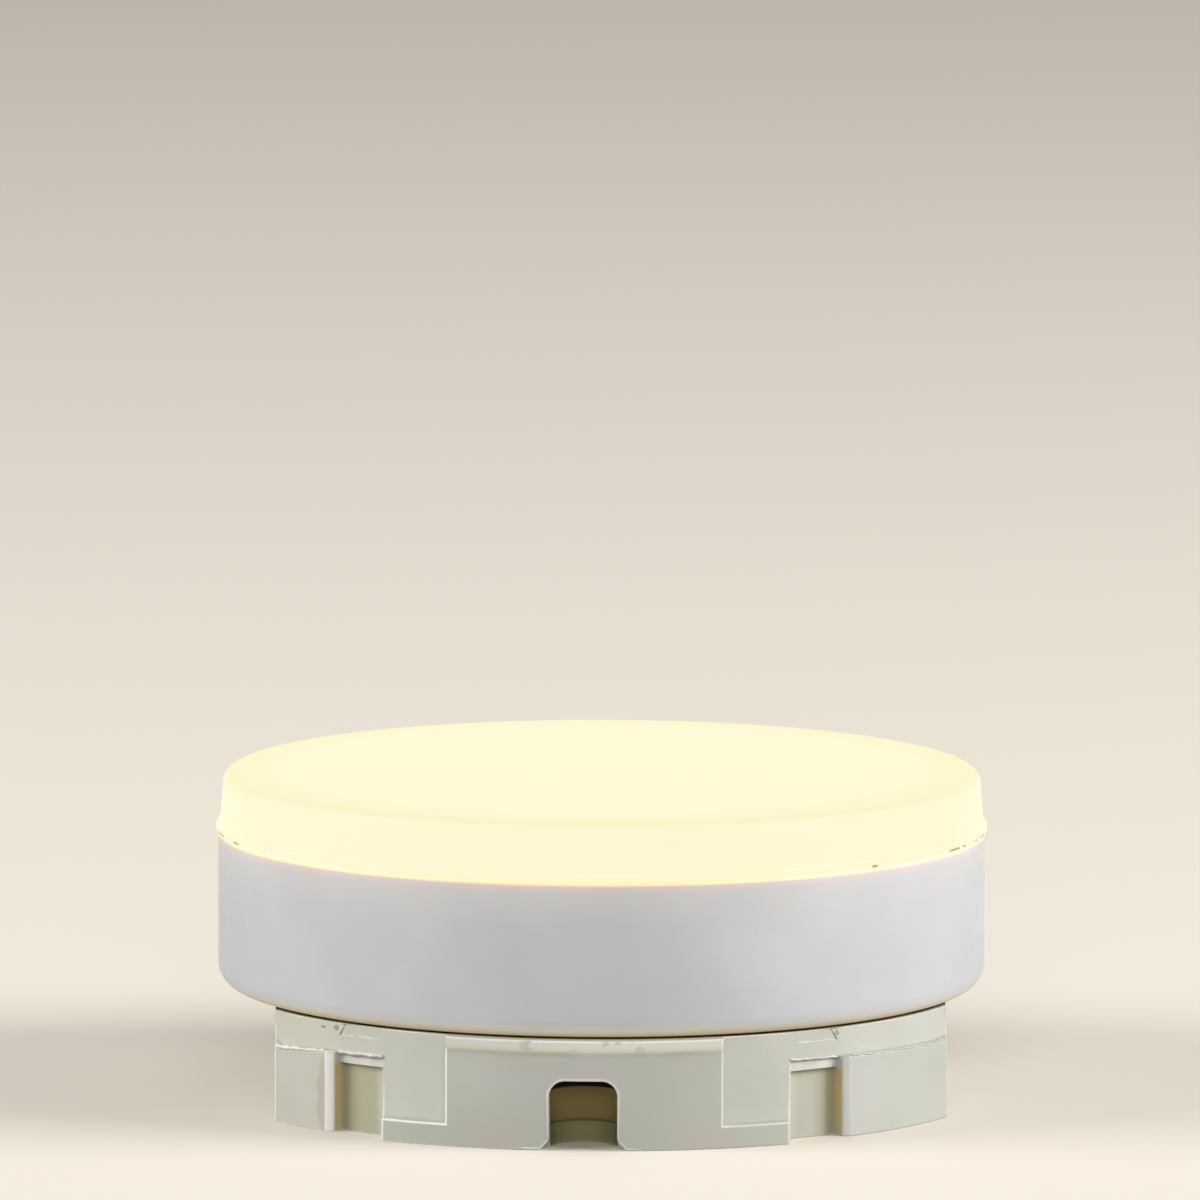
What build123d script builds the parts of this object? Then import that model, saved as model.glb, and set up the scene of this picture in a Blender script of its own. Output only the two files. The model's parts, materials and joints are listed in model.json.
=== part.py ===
from build123d import *
import os
from math import cos, radians, sin

os.makedirs("parts", exist_ok=True)

# A disc lamp with two mushroom pins, locked by a twist in its moulded holder.
# Millimetres. Z is the lamp's axis, the holder stands on Z = 0 and its wire entry faces -Y.

# Twist cap: the two pins and the turn that frees them
pin_spacing = 53.0
pin_neck_diameter = 3.2
pin_head_diameter = 5.0
pin_head_height = 1.8
pin_flange_diameter = 4.6
pin_flange_height = 0.8
pin_chamfer = 0.4
lock_turn = 15.0
slot_clearance = 0.4
entry_clearance = 0.8
pin_play = 0.35
seat_gap = 0.25

# Holder moulding: levels
holder_height = 10.4
deck_thickness = 2.2
base_thickness = 1.65

# Holder moulding: outline, with the front features set round from the two side flats
holder_radius = 36.4
wall_flare = 0.5
front_turn = -2.6
pad_proud = 2.0
pad_width = 26.5
pad_edge = 0.9
step_width = 39.0
step_height = 2.15
block_proud = 1.3
block_height = 7.8
block_angle = 41.0
block_edge = 0.5
notch_depth = 0.7
notch_height = 7.7
strip_height = 1.1
strip_depth = 0.1
window_height = 1.1
window_slant = 0.6
window_depth = 0.12
flat_wall = 1.6
flat_offset = 1.9
outer_wall = 2.8
rebate_wall = 2.0
flat_rebate_wall = 1.1

# Holder moulding: wire entries, centre hole, posts and fixing holes
entry_width = 6.5
entry_height = 6.65
entry_corner = 1.5
entry_flare = 0.9
entry_depth = 5.6
entry_wall = 1.0
centre_clearance = 1.25
centre_wall = 1.5
fixing_spacing = 53.5
fixing_diameter = 4.2
fixing_head_diameter = 8.0
fixing_head_depth = 3.4
fixing_wall = 1.2

# Base plate and its screws
plate_clearance = 0.15
base_hole_diameter = 28.0
post_diameter = 4.4
post_inset = 1.4
post_angle = 50.0
base_screw_diameter = 1.6
base_screw_head = 3.7
base_screw_sink = 0.8
base_screw_grip = 4.5
screw_clearance = 0.05

# Contacts and terminals
strip_thickness = 0.4
leaf_gap = 0.3
leaf_backing = 0.1
leaf_start = -24.0
leaf_end = 8.0
foot_start = -41.0
foot_end = -14.0
foot_width = 4.2
terminal_angle = -32.0
terminal_length = 5.0
terminal_width = 6.0
terminal_wire = 2.6
terminal_screw = 2.4
terminal_head = 3.8
terminal_head_height = 1.2
terminal_headroom = 0.3
terminal_access = 0.4

# Lamp housing
housing_radius = 37.3
housing_height = 15.0
housing_wall = 1.8
housing_floor = 2.0
housing_round = 2.0
housing_edge = 1.0
boss_gap = 4.0
boss_depth = 5.3
boss_wall = 1.6

# Diffuser
diffuser_height = 5.65
lip_height = 0.6
lip_proud = 0.2
lip_step = 0.35
diffuser_draft = 0.4
diffuser_wall = 1.3
diffuser_round = 1.0
skirt_depth = 3.0
skirt_wall = 1.2
skirt_clearance = 0.1
bead_height = 1.0
bead_proud = 0.35

# Lighting board
board_thickness = 1.0
board_gap = 0.4
board_margin = 1.0
chip_length = 3.5
chip_width = 2.8
chip_height = 0.8
chip_gap = 1.6
outer_chip_count = 12
inner_chip_count = 6
pillar_count = 3
pillar_angle = 90.0
pillar_diameter = 5.2
pillar_gap = 3.2
board_screw_diameter = 2.0
board_screw_head = 4.0
board_screw_head_height = 1.2
board_screw_grip = 5.0

# Driver
driver_margin = 0.6
part_margin = 1.5
driver_thickness = 1.2
driver_stand = 1.75
stand_diameter = 3.0
stand_inset = 2.3
stand_count = 3
stand_angle = 45.0
capacitor_angle = 225.0
capacitor_diameter = 8.0
capacitor_headroom = 2.5
capacitor_edge = 0.6
choke_angle = 315.0
choke_diameter = 7.0
choke_height = 6.5
choke_waist = 1.2
choke_flange = 1.0
film_angle = 122.0
film_length = 9.0
film_width = 4.0
film_height = 6.5
film_edge = 0.5
rectifier_angle = 58.0
rectifier_length = 5.0
rectifier_width = 4.0
rectifier_height = 2.0
fuse_diameter = 2.4
fuse_length = 6.0
fuse_lead = 0.8
lead_diameter = 1.2
lead_rise = 3.0
link_diameter = 0.8
link_pitch = 2.54

# Levels worked out from the sizes above
deck_underside = holder_height - deck_thickness
housing_bottom = holder_height + seat_gap
housing_top = housing_bottom + housing_height
head_top = deck_underside - pin_play
head_bottom = head_top - pin_head_height
inner_floor = housing_bottom + housing_floor
boss_bottom = housing_bottom - boss_depth
boss_floor = boss_bottom + boss_wall
diffuser_top = housing_top + diffuser_height
board_top = housing_top - skirt_depth - board_gap
board_bottom = board_top - board_thickness
driver_bottom = boss_floor + driver_stand
driver_top = driver_bottom + driver_thickness
foot_top = base_thickness + strip_thickness
terminal_top = deck_underside - terminal_headroom - terminal_head_height

# Radii and places worked out from the sizes above
pin_circle = pin_spacing / 2
boss_radius = pin_circle - pin_head_diameter / 2 - boss_gap
leaf_inner = pin_circle + pin_head_diameter / 2 + leaf_gap
leaf_outer = leaf_inner + strip_thickness
left_flat = leaf_outer + leaf_backing + flat_wall
right_flat = left_flat + flat_offset
pad_radius = holder_radius + pad_proud
block_radius = holder_radius + block_proud
notch_floor = holder_radius - notch_depth
strip_floor = notch_floor + notch_depth - strip_depth
channel_radius = holder_radius - outer_wall
rebate_radius = holder_radius - rebate_wall
entry_centre = pad_radius - entry_depth + entry_width / 2
centre_hole = boss_radius + centre_clearance
housing_inner = housing_radius - housing_wall
boss_inner = boss_radius - boss_wall
lip_radius = housing_radius + lip_proud
skirt_outer = housing_inner - skirt_clearance
skirt_inner = skirt_outer - skirt_wall
bead_level = housing_top - skirt_depth / 2
diffuser_foot = lip_radius - lip_step
diffuser_shoulder = diffuser_foot - diffuser_draft
board_radius = housing_inner - board_margin
pillar_circle = skirt_inner - board_screw_head / 2 - pillar_gap
outer_chip_circle = pillar_circle - board_screw_head / 2 - chip_gap - chip_width / 2
inner_chip_circle = outer_chip_circle / 2
driver_radius = boss_inner - driver_margin
stand_circle = driver_radius - stand_diameter / 2 - stand_inset
fixing_boss = fixing_head_diameter / 2 + fixing_wall
terminal_circle = (channel_radius + centre_hole + centre_wall) / 2
post_circle = channel_radius - post_diameter / 2 - post_inset
post_angles = (post_angle, 180 - post_angle, 180 + post_angle, -post_angle)
cut_reach = 4 * pad_radius
turned = Plane.XY.rotated((0, 0, front_turn))
front_plane = Plane((0, 0, 0), x_dir=turned.x_dir, z_dir=-turned.y_dir)
upward = (Align.CENTER, Align.CENTER, Align.MIN)
downward = (Align.CENTER, Align.CENTER, Align.MAX)


def polar(radius, angle):
    """Return the point at a radius and an angle from +X."""
    return (radius * cos(radians(angle)), radius * sin(radians(angle)))


def ring_sector(inner, outer, start, end):
    """Sketch the part of a ring between two angles."""
    with BuildLine() as outline:
        far = CenterArc((0, 0), outer, start, end - start)
        near = CenterArc((0, 0), inner, start, end - start)
        Line(far @ 0, near @ 0)
        Line(far @ 1, near @ 1)
    make_face(outline.edges())


def between_flats(inset):
    """Keep the part of the sketch that lies inside the two side flats, less an inset."""
    left = left_flat - inset
    right = right_flat - inset
    with Locations(((right - left) / 2, 0)):
        Rectangle(left + right, cut_reach, mode=Mode.INTERSECT)


def lathe(*points, mode=Mode.ADD):
    """Revolve a closed outline of radius and height pairs about the lamp's axis."""
    with BuildSketch(Plane.XZ) as section:
        with BuildLine():
            Polyline(*points, close=True)
        make_face()
    revolve(section.sketch, axis=Axis.Z, mode=mode)


# Wire entry: an arched mouth with flared feet, running into a round-ended pocket
with BuildPart() as wire_entry:
    half_entry = entry_width / 2
    with BuildSketch(Plane.XZ.offset(entry_centre)) as mouth:
        with BuildLine():
            Polyline(
                (-half_entry - entry_flare, 0),
                (-half_entry, entry_flare),
                (-half_entry, entry_height),
                (half_entry, entry_height),
                (half_entry, entry_flare),
                (half_entry + entry_flare, 0),
                close=True,
            )
        make_face()
        fillet(mouth.vertices().group_by(Axis.Y)[-1], entry_corner)
    extrude(amount=entry_depth)
    with BuildSketch(Plane.XZ.offset(entry_centre)) as pocket_half:
        Rectangle(half_entry, entry_height, align=(Align.MIN, Align.MIN))
        fillet(pocket_half.vertices().sort_by_distance((half_entry, entry_height))[0], entry_corner)
    revolve(axis=Axis((0, -entry_centre, 0), (0, 0, 1)), revolution_arc=180)

# Rim windows: thin curved panels with slanted sides, one over each notch
with BuildPart() as rim_windows:
    window_inner = step_width / 2
    window_outer = holder_radius * sin(radians(block_angle))
    with BuildSketch(front_plane):
        with BuildLine():
            Polyline(
                (window_inner, holder_height),
                (window_inner + window_slant, holder_height - window_height),
                (window_outer, holder_height - window_height),
                (window_outer - window_slant, holder_height),
                close=True,
            )
        make_face()
        mirror(about=Plane.YZ)
    extrude(amount=cut_reach, both=True)
    Cylinder(holder_radius - window_depth, cut_reach, mode=Mode.SUBTRACT)

# Holder body
with BuildPart() as holder_body:
    # Front and back pads with a chamfered top edge, over a wider low step
    with BuildSketch(turned):
        Circle(pad_radius)
        Rectangle(pad_width, cut_reach, mode=Mode.INTERSECT)
    extrude(amount=holder_height)
    lathe(
        (pad_radius - pad_edge, holder_height),
        (pad_radius, holder_height - pad_edge),
        (pad_radius, holder_height),
        mode=Mode.SUBTRACT,
    )
    with BuildSketch(turned):
        Circle(pad_radius)
        Rectangle(step_width, cut_reach, mode=Mode.INTERSECT)
    extrude(amount=step_height)
    # Side blocks, with chamfered edges beside the notches
    with BuildSketch(turned) as blocks:
        ring_sector(channel_radius, block_radius, block_angle - 90, 90 - block_angle)
        ring_sector(channel_radius, block_radius, 90 + block_angle, 270 - block_angle)
        chamfer(blocks.vertices().sort_by_distance((0, 0, 0))[-4:], block_edge)
    extrude(amount=block_height)
    # The drum that they stand out from, a little wider at the foot
    lathe((0, 0), (holder_radius + wall_flare, 0), (holder_radius, holder_height), (0, holder_height))
    # Notches between the pads and the blocks, shallower along their top strip
    for floor, top in ((notch_floor, notch_height - strip_height), (strip_floor, notch_height)):
        with BuildSketch(turned):
            with BuildLine():
                Polyline(
                    (step_width / 2, -pad_radius),
                    (step_width / 2, -channel_radius / 2),
                    polar(channel_radius, block_angle - 90),
                    polar(pad_radius, block_angle - 90),
                    close=True,
                )
            make_face()
            mirror(about=Plane.YZ)
            mirror(about=Plane.XZ)
            Circle(floor, mode=Mode.SUBTRACT)
        extrude(amount=top, mode=Mode.SUBTRACT)
    # Shallow windows in the rim above the notches
    add(rim_windows.part, mode=Mode.SUBTRACT)
    # Side flats
    with BuildSketch():
        Circle(cut_reach)
        with Locations(((right_flat - left_flat) / 2, 0)):
            Rectangle(left_flat + right_flat, 3 * cut_reach, mode=Mode.SUBTRACT)
    extrude(amount=holder_height, mode=Mode.SUBTRACT)
    # Hollow under the deck and the rebate for the base plate
    with BuildSketch():
        Circle(channel_radius)
        between_flats(flat_wall)
        Circle(centre_hole + centre_wall, mode=Mode.SUBTRACT)
    extrude(amount=deck_underside, mode=Mode.SUBTRACT)
    with BuildSketch():
        Circle(rebate_radius)
        between_flats(flat_rebate_wall)
    extrude(amount=base_thickness, mode=Mode.SUBTRACT)
    # Walls round the wire pockets, screw posts and fixing bosses
    with BuildSketch(turned.offset(base_thickness)):
        with Locations((0, -entry_centre), (0, entry_centre)):
            Circle(entry_width / 2 + entry_wall)
        Circle(channel_radius + entry_wall, mode=Mode.INTERSECT)
    extrude(amount=deck_underside - base_thickness)
    with Locations(*[(*polar(post_circle, angle), base_thickness) for angle in post_angles]):
        Cylinder(post_diameter / 2, deck_underside - base_thickness, align=upward)
    with Locations((0, fixing_spacing / 2, base_thickness), (0, -fixing_spacing / 2, base_thickness)):
        Cylinder(fixing_boss, deck_underside - base_thickness, align=upward)
    # Openings from below: wire pockets and pilot holes
    with PolarLocations(0, 2, start_angle=front_turn):
        add(wire_entry.part, mode=Mode.SUBTRACT)
    with Locations(*[(*polar(post_circle, angle), base_thickness) for angle in post_angles]):
        Cylinder(
            base_screw_diameter / 2 + screw_clearance, base_screw_grip, align=upward, mode=Mode.SUBTRACT
        )
    # Openings through the deck: centre hole, twist slots with entry holes, terminal access
    with BuildSketch():
        Circle(centre_hole)
        for turn in (0, 180):
            SlotArc(
                CenterArc((0, 0), pin_circle, turn, lock_turn),
                pin_neck_diameter + 2 * slot_clearance,
            )
            with Locations(polar(pin_circle, turn + lock_turn)):
                Circle(pin_head_diameter / 2 + entry_clearance)
            with Locations(polar(terminal_circle, turn + terminal_angle)):
                Circle(terminal_head / 2 + terminal_access)
    extrude(amount=holder_height, mode=Mode.SUBTRACT)
    with Locations((0, fixing_spacing / 2, holder_height), (0, -fixing_spacing / 2, holder_height)):
        CounterBoreHole(fixing_diameter / 2, fixing_head_diameter / 2, fixing_head_depth, holder_height)
holder_body.part.label = "holder_body"
export_step(holder_body.part, "parts/holder_body.step")

# Base plate, let into the back of the holder
with BuildPart() as base_plate:
    with BuildSketch():
        Circle(rebate_radius - plate_clearance)
        between_flats(flat_rebate_wall + plate_clearance)
        Circle(base_hole_diameter / 2, mode=Mode.SUBTRACT)
        with Locations((0, fixing_spacing / 2), (0, -fixing_spacing / 2)):
            Circle(fixing_diameter / 2, mode=Mode.SUBTRACT)
    extrude(amount=base_thickness)
    with PolarLocations(0, 2, start_angle=front_turn):
        add(wire_entry.part, mode=Mode.SUBTRACT)
    with Locations(*[polar(post_circle, angle) for angle in post_angles]):
        Cylinder(
            base_screw_diameter / 2 + screw_clearance, base_thickness, align=upward, mode=Mode.SUBTRACT
        )
        Cone(
            base_screw_head / 2 + screw_clearance,
            base_screw_diameter / 2 + screw_clearance,
            base_screw_sink,
            align=upward,
            mode=Mode.SUBTRACT,
        )
base_plate.part.label = "base_plate"
export_step(base_plate.part, "parts/base_plate.step")

# Countersunk screws that hold the base plate to the posts
with BuildPart() as base_screws:
    with Locations(*[polar(post_circle, angle) for angle in post_angles]):
        Cylinder(base_screw_diameter / 2, base_thickness + base_screw_grip - screw_clearance, align=upward)
        Cone(base_screw_head / 2, base_screw_diameter / 2, base_screw_sink, align=upward)
base_screws.part.label = "base_screws"
export_step(base_screws.part, "parts/base_screws.step")

# Contacts and terminals, one of each to either side
wire_level = (foot_top + terminal_top) / 2
for side, turn in (("right", 0), ("left", 180)):
    side_plane = Plane.XY.rotated((0, 0, turn))
    # Sprung strip: a foot on the base plate and an upright leaf beside the pin's path
    with BuildPart() as contact_spring:
        with BuildSketch(side_plane.offset(base_thickness)):
            ring_sector(leaf_outer - foot_width, leaf_outer, foot_start, foot_end)
        extrude(amount=strip_thickness)
        with BuildSketch(side_plane.offset(base_thickness)):
            ring_sector(leaf_inner, leaf_outer, leaf_start, leaf_end)
        extrude(amount=deck_underside - leaf_gap - base_thickness)
    contact_spring.part.label = f"contact_spring_{side}"
    export_step(contact_spring.part, f"parts/contact_spring_{side}.step")

    # Clamp block that stands on the strip's foot, with a wire hole across it
    wire_plane = Plane(
        origin=(*polar(terminal_circle, turn + terminal_angle), wire_level),
        z_dir=(*polar(1, turn + terminal_angle + 90), 0),
    )
    with BuildPart() as terminal_block:
        with BuildSketch(side_plane.offset(foot_top)):
            with PolarLocations(terminal_circle, 1, start_angle=terminal_angle):
                Rectangle(terminal_length, terminal_width)
        extrude(amount=terminal_top - foot_top)
        with BuildSketch(side_plane.offset(wire_level)):
            with PolarLocations(terminal_circle, 1, start_angle=terminal_angle):
                Circle(terminal_screw / 2 + screw_clearance)
        extrude(amount=terminal_top - wire_level, mode=Mode.SUBTRACT)
        with BuildSketch(wire_plane):
            Circle(terminal_wire / 2)
        extrude(amount=terminal_width, both=True, mode=Mode.SUBTRACT)
    terminal_block.part.label = f"terminal_block_{side}"
    export_step(terminal_block.part, f"parts/terminal_block_{side}.step")

# Clamp screws, under the access holes in the deck
with BuildPart() as terminal_screws:
    with Locations((0, 0, terminal_top)):
        with PolarLocations(terminal_circle, 2, start_angle=terminal_angle):
            Cylinder(terminal_head / 2, terminal_head_height, align=upward)
            Cylinder(terminal_screw / 2, terminal_top - wire_level, align=downward)
terminal_screws.part.label = "terminal_screws"
export_step(terminal_screws.part, "parts/terminal_screws.step")

# Lamp housing: a round-bottomed cup with a hollow boss, screw pillars and driver stands
with BuildPart() as lamp_housing:
    with BuildSketch(Plane.XZ) as cup:
        with BuildLine():
            Polyline(
                (0, boss_bottom),
                (boss_radius, boss_bottom),
                (boss_radius, housing_bottom),
                (housing_radius, housing_bottom),
                (housing_radius, housing_top),
                (housing_inner, housing_top),
                (housing_inner, inner_floor),
                (boss_inner, inner_floor),
                (boss_inner, boss_floor),
                (0, boss_floor),
                close=True,
            )
        make_face()
        fillet(cup.vertices().sort_by_distance((housing_radius, housing_bottom))[0], housing_round)
        chamfer(cup.vertices().sort_by_distance((housing_inner, inner_floor))[0], housing_edge)
    revolve(axis=Axis.Z)
    lathe(
        (housing_inner, bead_level - bead_height / 2 - skirt_clearance),
        (housing_inner + bead_proud, bead_level),
        (housing_inner, bead_level + bead_height / 2 + skirt_clearance),
        mode=Mode.SUBTRACT,
    )
    with Locations((0, 0, inner_floor)):
        with PolarLocations(pillar_circle, pillar_count, start_angle=pillar_angle):
            Cylinder(pillar_diameter / 2, board_bottom - inner_floor, align=upward)
    with Locations((0, 0, boss_floor)):
        with PolarLocations(stand_circle, stand_count, start_angle=stand_angle):
            Cylinder(stand_diameter / 2, driver_stand, align=upward)
    with Locations((0, 0, board_bottom)):
        with PolarLocations(pillar_circle, pillar_count, start_angle=pillar_angle):
            Cylinder(
                board_screw_diameter / 2 + screw_clearance,
                board_screw_grip,
                align=downward,
                mode=Mode.SUBTRACT,
            )
    with Locations((pin_circle, 0, inner_floor), (-pin_circle, 0, inner_floor)):
        Cylinder(
            pin_neck_diameter / 2 + screw_clearance, housing_floor, align=downward, mode=Mode.SUBTRACT
        )
lamp_housing.part.label = "lamp_housing"
export_step(lamp_housing.part, "parts/lamp_housing.step")

# Diffuser: a drafted cap with a thin lip on the rim and a beaded skirt that snaps inside it
with BuildPart() as diffuser:
    with BuildSketch(Plane.XZ) as cap:
        with BuildLine():
            Polyline(
                (0, diffuser_top),
                (diffuser_shoulder, diffuser_top),
                (diffuser_foot, housing_top + lip_height),
                (lip_radius, housing_top + lip_height),
                (lip_radius, housing_top),
                (skirt_outer, housing_top),
                (skirt_outer, bead_level + bead_height / 2),
                (skirt_outer + bead_proud, bead_level),
                (skirt_outer, bead_level - bead_height / 2),
                (skirt_outer, housing_top - skirt_depth),
                (skirt_inner, housing_top - skirt_depth),
                (skirt_inner, housing_top),
                (diffuser_foot - diffuser_wall, housing_top + lip_height),
                (diffuser_shoulder - diffuser_wall, diffuser_top - diffuser_wall),
                (0, diffuser_top - diffuser_wall),
                close=True,
            )
        make_face()
        fillet(cap.vertices().sort_by_distance((diffuser_shoulder, diffuser_top))[0], diffuser_round)
    revolve(axis=Axis.Z)
diffuser.part.label = "diffuser"
export_step(diffuser.part, "parts/diffuser.step")

# Lighting board, screwed to the pillars
with BuildPart() as led_board:
    with Locations((0, 0, board_bottom)):
        Cylinder(board_radius, board_thickness, align=upward)
        with PolarLocations(pillar_circle, pillar_count, start_angle=pillar_angle):
            Cylinder(
                board_screw_diameter / 2 + screw_clearance,
                board_thickness,
                align=upward,
                mode=Mode.SUBTRACT,
            )
led_board.part.label = "led_board"
export_step(led_board.part, "parts/led_board.step")

# Light-emitting packages in two rings
with BuildPart() as led_chips:
    with BuildSketch(Plane.XY.offset(board_top)):
        with PolarLocations(outer_chip_circle, outer_chip_count):
            Rectangle(chip_width, chip_length)
        with PolarLocations(inner_chip_circle, inner_chip_count):
            Rectangle(chip_width, chip_length)
    extrude(amount=chip_height)
led_chips.part.label = "led_chips"
export_step(led_chips.part, "parts/led_chips.step")

# Screws that hold the lighting board
with BuildPart() as board_screws:
    with Locations((0, 0, board_top)):
        with PolarLocations(pillar_circle, pillar_count, start_angle=pillar_angle):
            Cylinder(board_screw_head / 2, board_screw_head_height, align=upward)
            Cylinder(
                board_screw_diameter / 2,
                board_thickness + board_screw_grip - screw_clearance,
                align=downward,
            )
board_screws.part.label = "board_screws"
export_step(board_screws.part, "parts/board_screws.step")

# Mushroom pins, riveted through the housing floor
for side, turn in (("right", 0), ("left", 180)):
    pin_foot = (*polar(pin_circle, turn), 0)
    with BuildPart() as contact_pin:
        with BuildSketch(Plane(pin_foot, x_dir=(1, 0, 0), z_dir=(0, -1, 0))) as pin_half:
            with BuildLine():
                Polyline(
                    (0, head_bottom),
                    (pin_head_diameter / 2, head_bottom),
                    (pin_head_diameter / 2, head_top),
                    (pin_neck_diameter / 2, head_top),
                    (pin_neck_diameter / 2, inner_floor),
                    (pin_flange_diameter / 2, inner_floor),
                    (pin_flange_diameter / 2, inner_floor + pin_flange_height),
                    (0, inner_floor + pin_flange_height),
                    close=True,
                )
            make_face()
            head_corner = (pin_head_diameter / 2, head_bottom)
            chamfer(pin_half.vertices().sort_by_distance(head_corner)[0], pin_chamfer)
        revolve(axis=Axis(pin_foot, (0, 0, 1)))
    contact_pin.part.label = f"contact_pin_{side}"
    export_step(contact_pin.part, f"parts/contact_pin_{side}.step")

# Driver board on its stands in the boss
with BuildPart() as driver_board:
    with Locations((0, 0, driver_bottom)):
        Cylinder(driver_radius, driver_thickness, align=upward)
driver_board.part.label = "driver_board"
export_step(driver_board.part, "parts/driver_board.step")

# Parts on the driver board, each a margin in from its edge
with BuildPart() as smoothing_capacitor:
    with BuildSketch(Plane.XY.offset(driver_top)):
        with PolarLocations(driver_radius - part_margin - capacitor_diameter / 2, 1, capacitor_angle):
            Circle(capacitor_diameter / 2)
    extrude(amount=board_bottom - capacitor_headroom - driver_top)
    chamfer(smoothing_capacitor.edges().group_by(Axis.Z)[-1], capacitor_edge)
smoothing_capacitor.part.label = "smoothing_capacitor"
export_step(smoothing_capacitor.part, "parts/smoothing_capacitor.step")

with BuildPart() as choke_coil:
    choke_seat = driver_radius - part_margin - choke_diameter / 2
    for radius, level, height in (
        (choke_diameter / 2, driver_top, choke_flange),
        (choke_diameter / 2 - choke_waist, driver_top, choke_height),
        (choke_diameter / 2, driver_top + choke_height - choke_flange, choke_flange),
    ):
        with BuildSketch(Plane.XY.offset(level)):
            with PolarLocations(choke_seat, 1, choke_angle):
                Circle(radius)
        extrude(amount=height)
choke_coil.part.label = "choke_coil"
export_step(choke_coil.part, "parts/choke_coil.step")

with BuildPart() as film_capacitor:
    with BuildSketch(Plane.XY.offset(driver_top)):
        with PolarLocations(driver_radius - part_margin - film_width, 1, film_angle):
            Rectangle(film_width, film_length)
    extrude(amount=film_height)
    chamfer(film_capacitor.edges().filter_by(Axis.Z), film_edge)
film_capacitor.part.label = "film_capacitor"
export_step(film_capacitor.part, "parts/film_capacitor.step")

with BuildPart() as rectifier:
    with BuildSketch(Plane.XY.offset(driver_top)):
        with PolarLocations(driver_radius - part_margin - rectifier_width, 1, rectifier_angle):
            Rectangle(rectifier_width, rectifier_length)
    extrude(amount=rectifier_height)
rectifier.part.label = "rectifier"
export_step(rectifier.part, "parts/rectifier.step")

with BuildPart() as fuse_resistor:
    fuse_level = driver_top + fuse_diameter
    fuse_reach = (fuse_length + fuse_diameter) / 2
    with Locations((0, 0, fuse_level)):
        Cylinder(fuse_diameter / 2, fuse_length, rotation=(0, 90, 0))
        Box(2 * fuse_reach + fuse_lead, fuse_lead, fuse_lead)
    with Locations((fuse_reach, 0, driver_top), (-fuse_reach, 0, driver_top)):
        Box(fuse_lead, fuse_lead, fuse_level - driver_top, align=upward)
fuse_resistor.part.label = "fuse_resistor"
export_step(fuse_resistor.part, "parts/fuse_resistor.step")

# Leads from the pins, over the boss's rim and down to the driver board
with BuildPart() as pin_leads:
    lead_level = inner_floor + pin_flange_height
    lead_landing = driver_radius - part_margin - lead_diameter / 2
    for way in (1, -1):
        with BuildLine(Plane.XZ) as route:
            Polyline(
                (way * pin_circle, lead_level),
                (way * pin_circle, lead_level + lead_rise),
                (way * lead_landing, lead_level + lead_rise),
                (way * lead_landing, driver_top),
            )
        with BuildSketch(Plane(origin=(way * pin_circle, 0, lead_level))):
            Circle(lead_diameter / 2)
        sweep(path=route.line, transition=Transition.RIGHT)
pin_leads.part.label = "pin_leads"
export_step(pin_leads.part, "parts/pin_leads.step")

# Straight pins that carry the current up to the lighting board
with BuildPart() as link_pins:
    with BuildSketch(Plane.XY.offset(driver_top)):
        with Locations((0, driver_radius - part_margin)):
            with GridLocations(link_pitch, 0, 2, 1):
                Circle(link_diameter / 2)
    extrude(amount=board_bottom - driver_top)
link_pins.part.label = "link_pins"
export_step(link_pins.part, "parts/link_pins.step")
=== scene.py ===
"""Looks of a lit disc lamp locked in its moulded twist holder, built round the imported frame."""

import json
import logging
import math
from dataclasses import dataclass
from enum import Enum

import bmesh
import bpy
from mathutils import Matrix, Vector, noise


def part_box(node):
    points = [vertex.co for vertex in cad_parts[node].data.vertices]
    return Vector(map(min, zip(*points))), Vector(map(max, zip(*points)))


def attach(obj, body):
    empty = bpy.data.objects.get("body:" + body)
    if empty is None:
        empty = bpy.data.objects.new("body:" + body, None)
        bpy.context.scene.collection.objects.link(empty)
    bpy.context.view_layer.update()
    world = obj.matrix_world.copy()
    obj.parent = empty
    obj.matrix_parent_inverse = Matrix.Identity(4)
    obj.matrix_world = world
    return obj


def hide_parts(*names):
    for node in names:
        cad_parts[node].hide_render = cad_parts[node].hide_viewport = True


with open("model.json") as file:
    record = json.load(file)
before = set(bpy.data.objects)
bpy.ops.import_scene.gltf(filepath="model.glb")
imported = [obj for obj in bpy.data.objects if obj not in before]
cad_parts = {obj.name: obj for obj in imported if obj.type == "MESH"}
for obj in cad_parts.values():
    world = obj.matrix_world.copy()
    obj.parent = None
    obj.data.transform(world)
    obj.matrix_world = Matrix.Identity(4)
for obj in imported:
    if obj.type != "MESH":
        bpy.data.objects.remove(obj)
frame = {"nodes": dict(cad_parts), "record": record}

LOG = logging.getLogger("disc_lamp")
MM = 0.001
MERGE_DISTANCE = 0.001 * MM
# Degrees by which the holder's features stand round from square to the front.
HOLDER_TURN = 2.6

Colour = tuple[float, float, float]
Point = tuple[float, float]
# A colour, and the two values between which it sets in.
Step = tuple[Colour, Point]
Socket = bpy.types.NodeSocket
Material = bpy.types.Material
Piece = bpy.types.Object
Polygon = bpy.types.MeshPolygon
BMesh = bmesh.types.BMesh
BMVert = bmesh.types.BMVert
BMEdge = bmesh.types.BMEdge
BMFace = bmesh.types.BMFace

UNLIT: Colour = (0.0, 0.0, 0.0)
# Spans of a noise pattern, whose values gather round 0.5.
WIDE_SPAN: Point = (0.3, 0.7)
MIDDLE_SPAN: Point = (0.35, 0.65)


class Body(Enum):
    """The two bodies that pieces ride on."""

    HOLDER = "holder"
    LAMP = "lamp"


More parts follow.
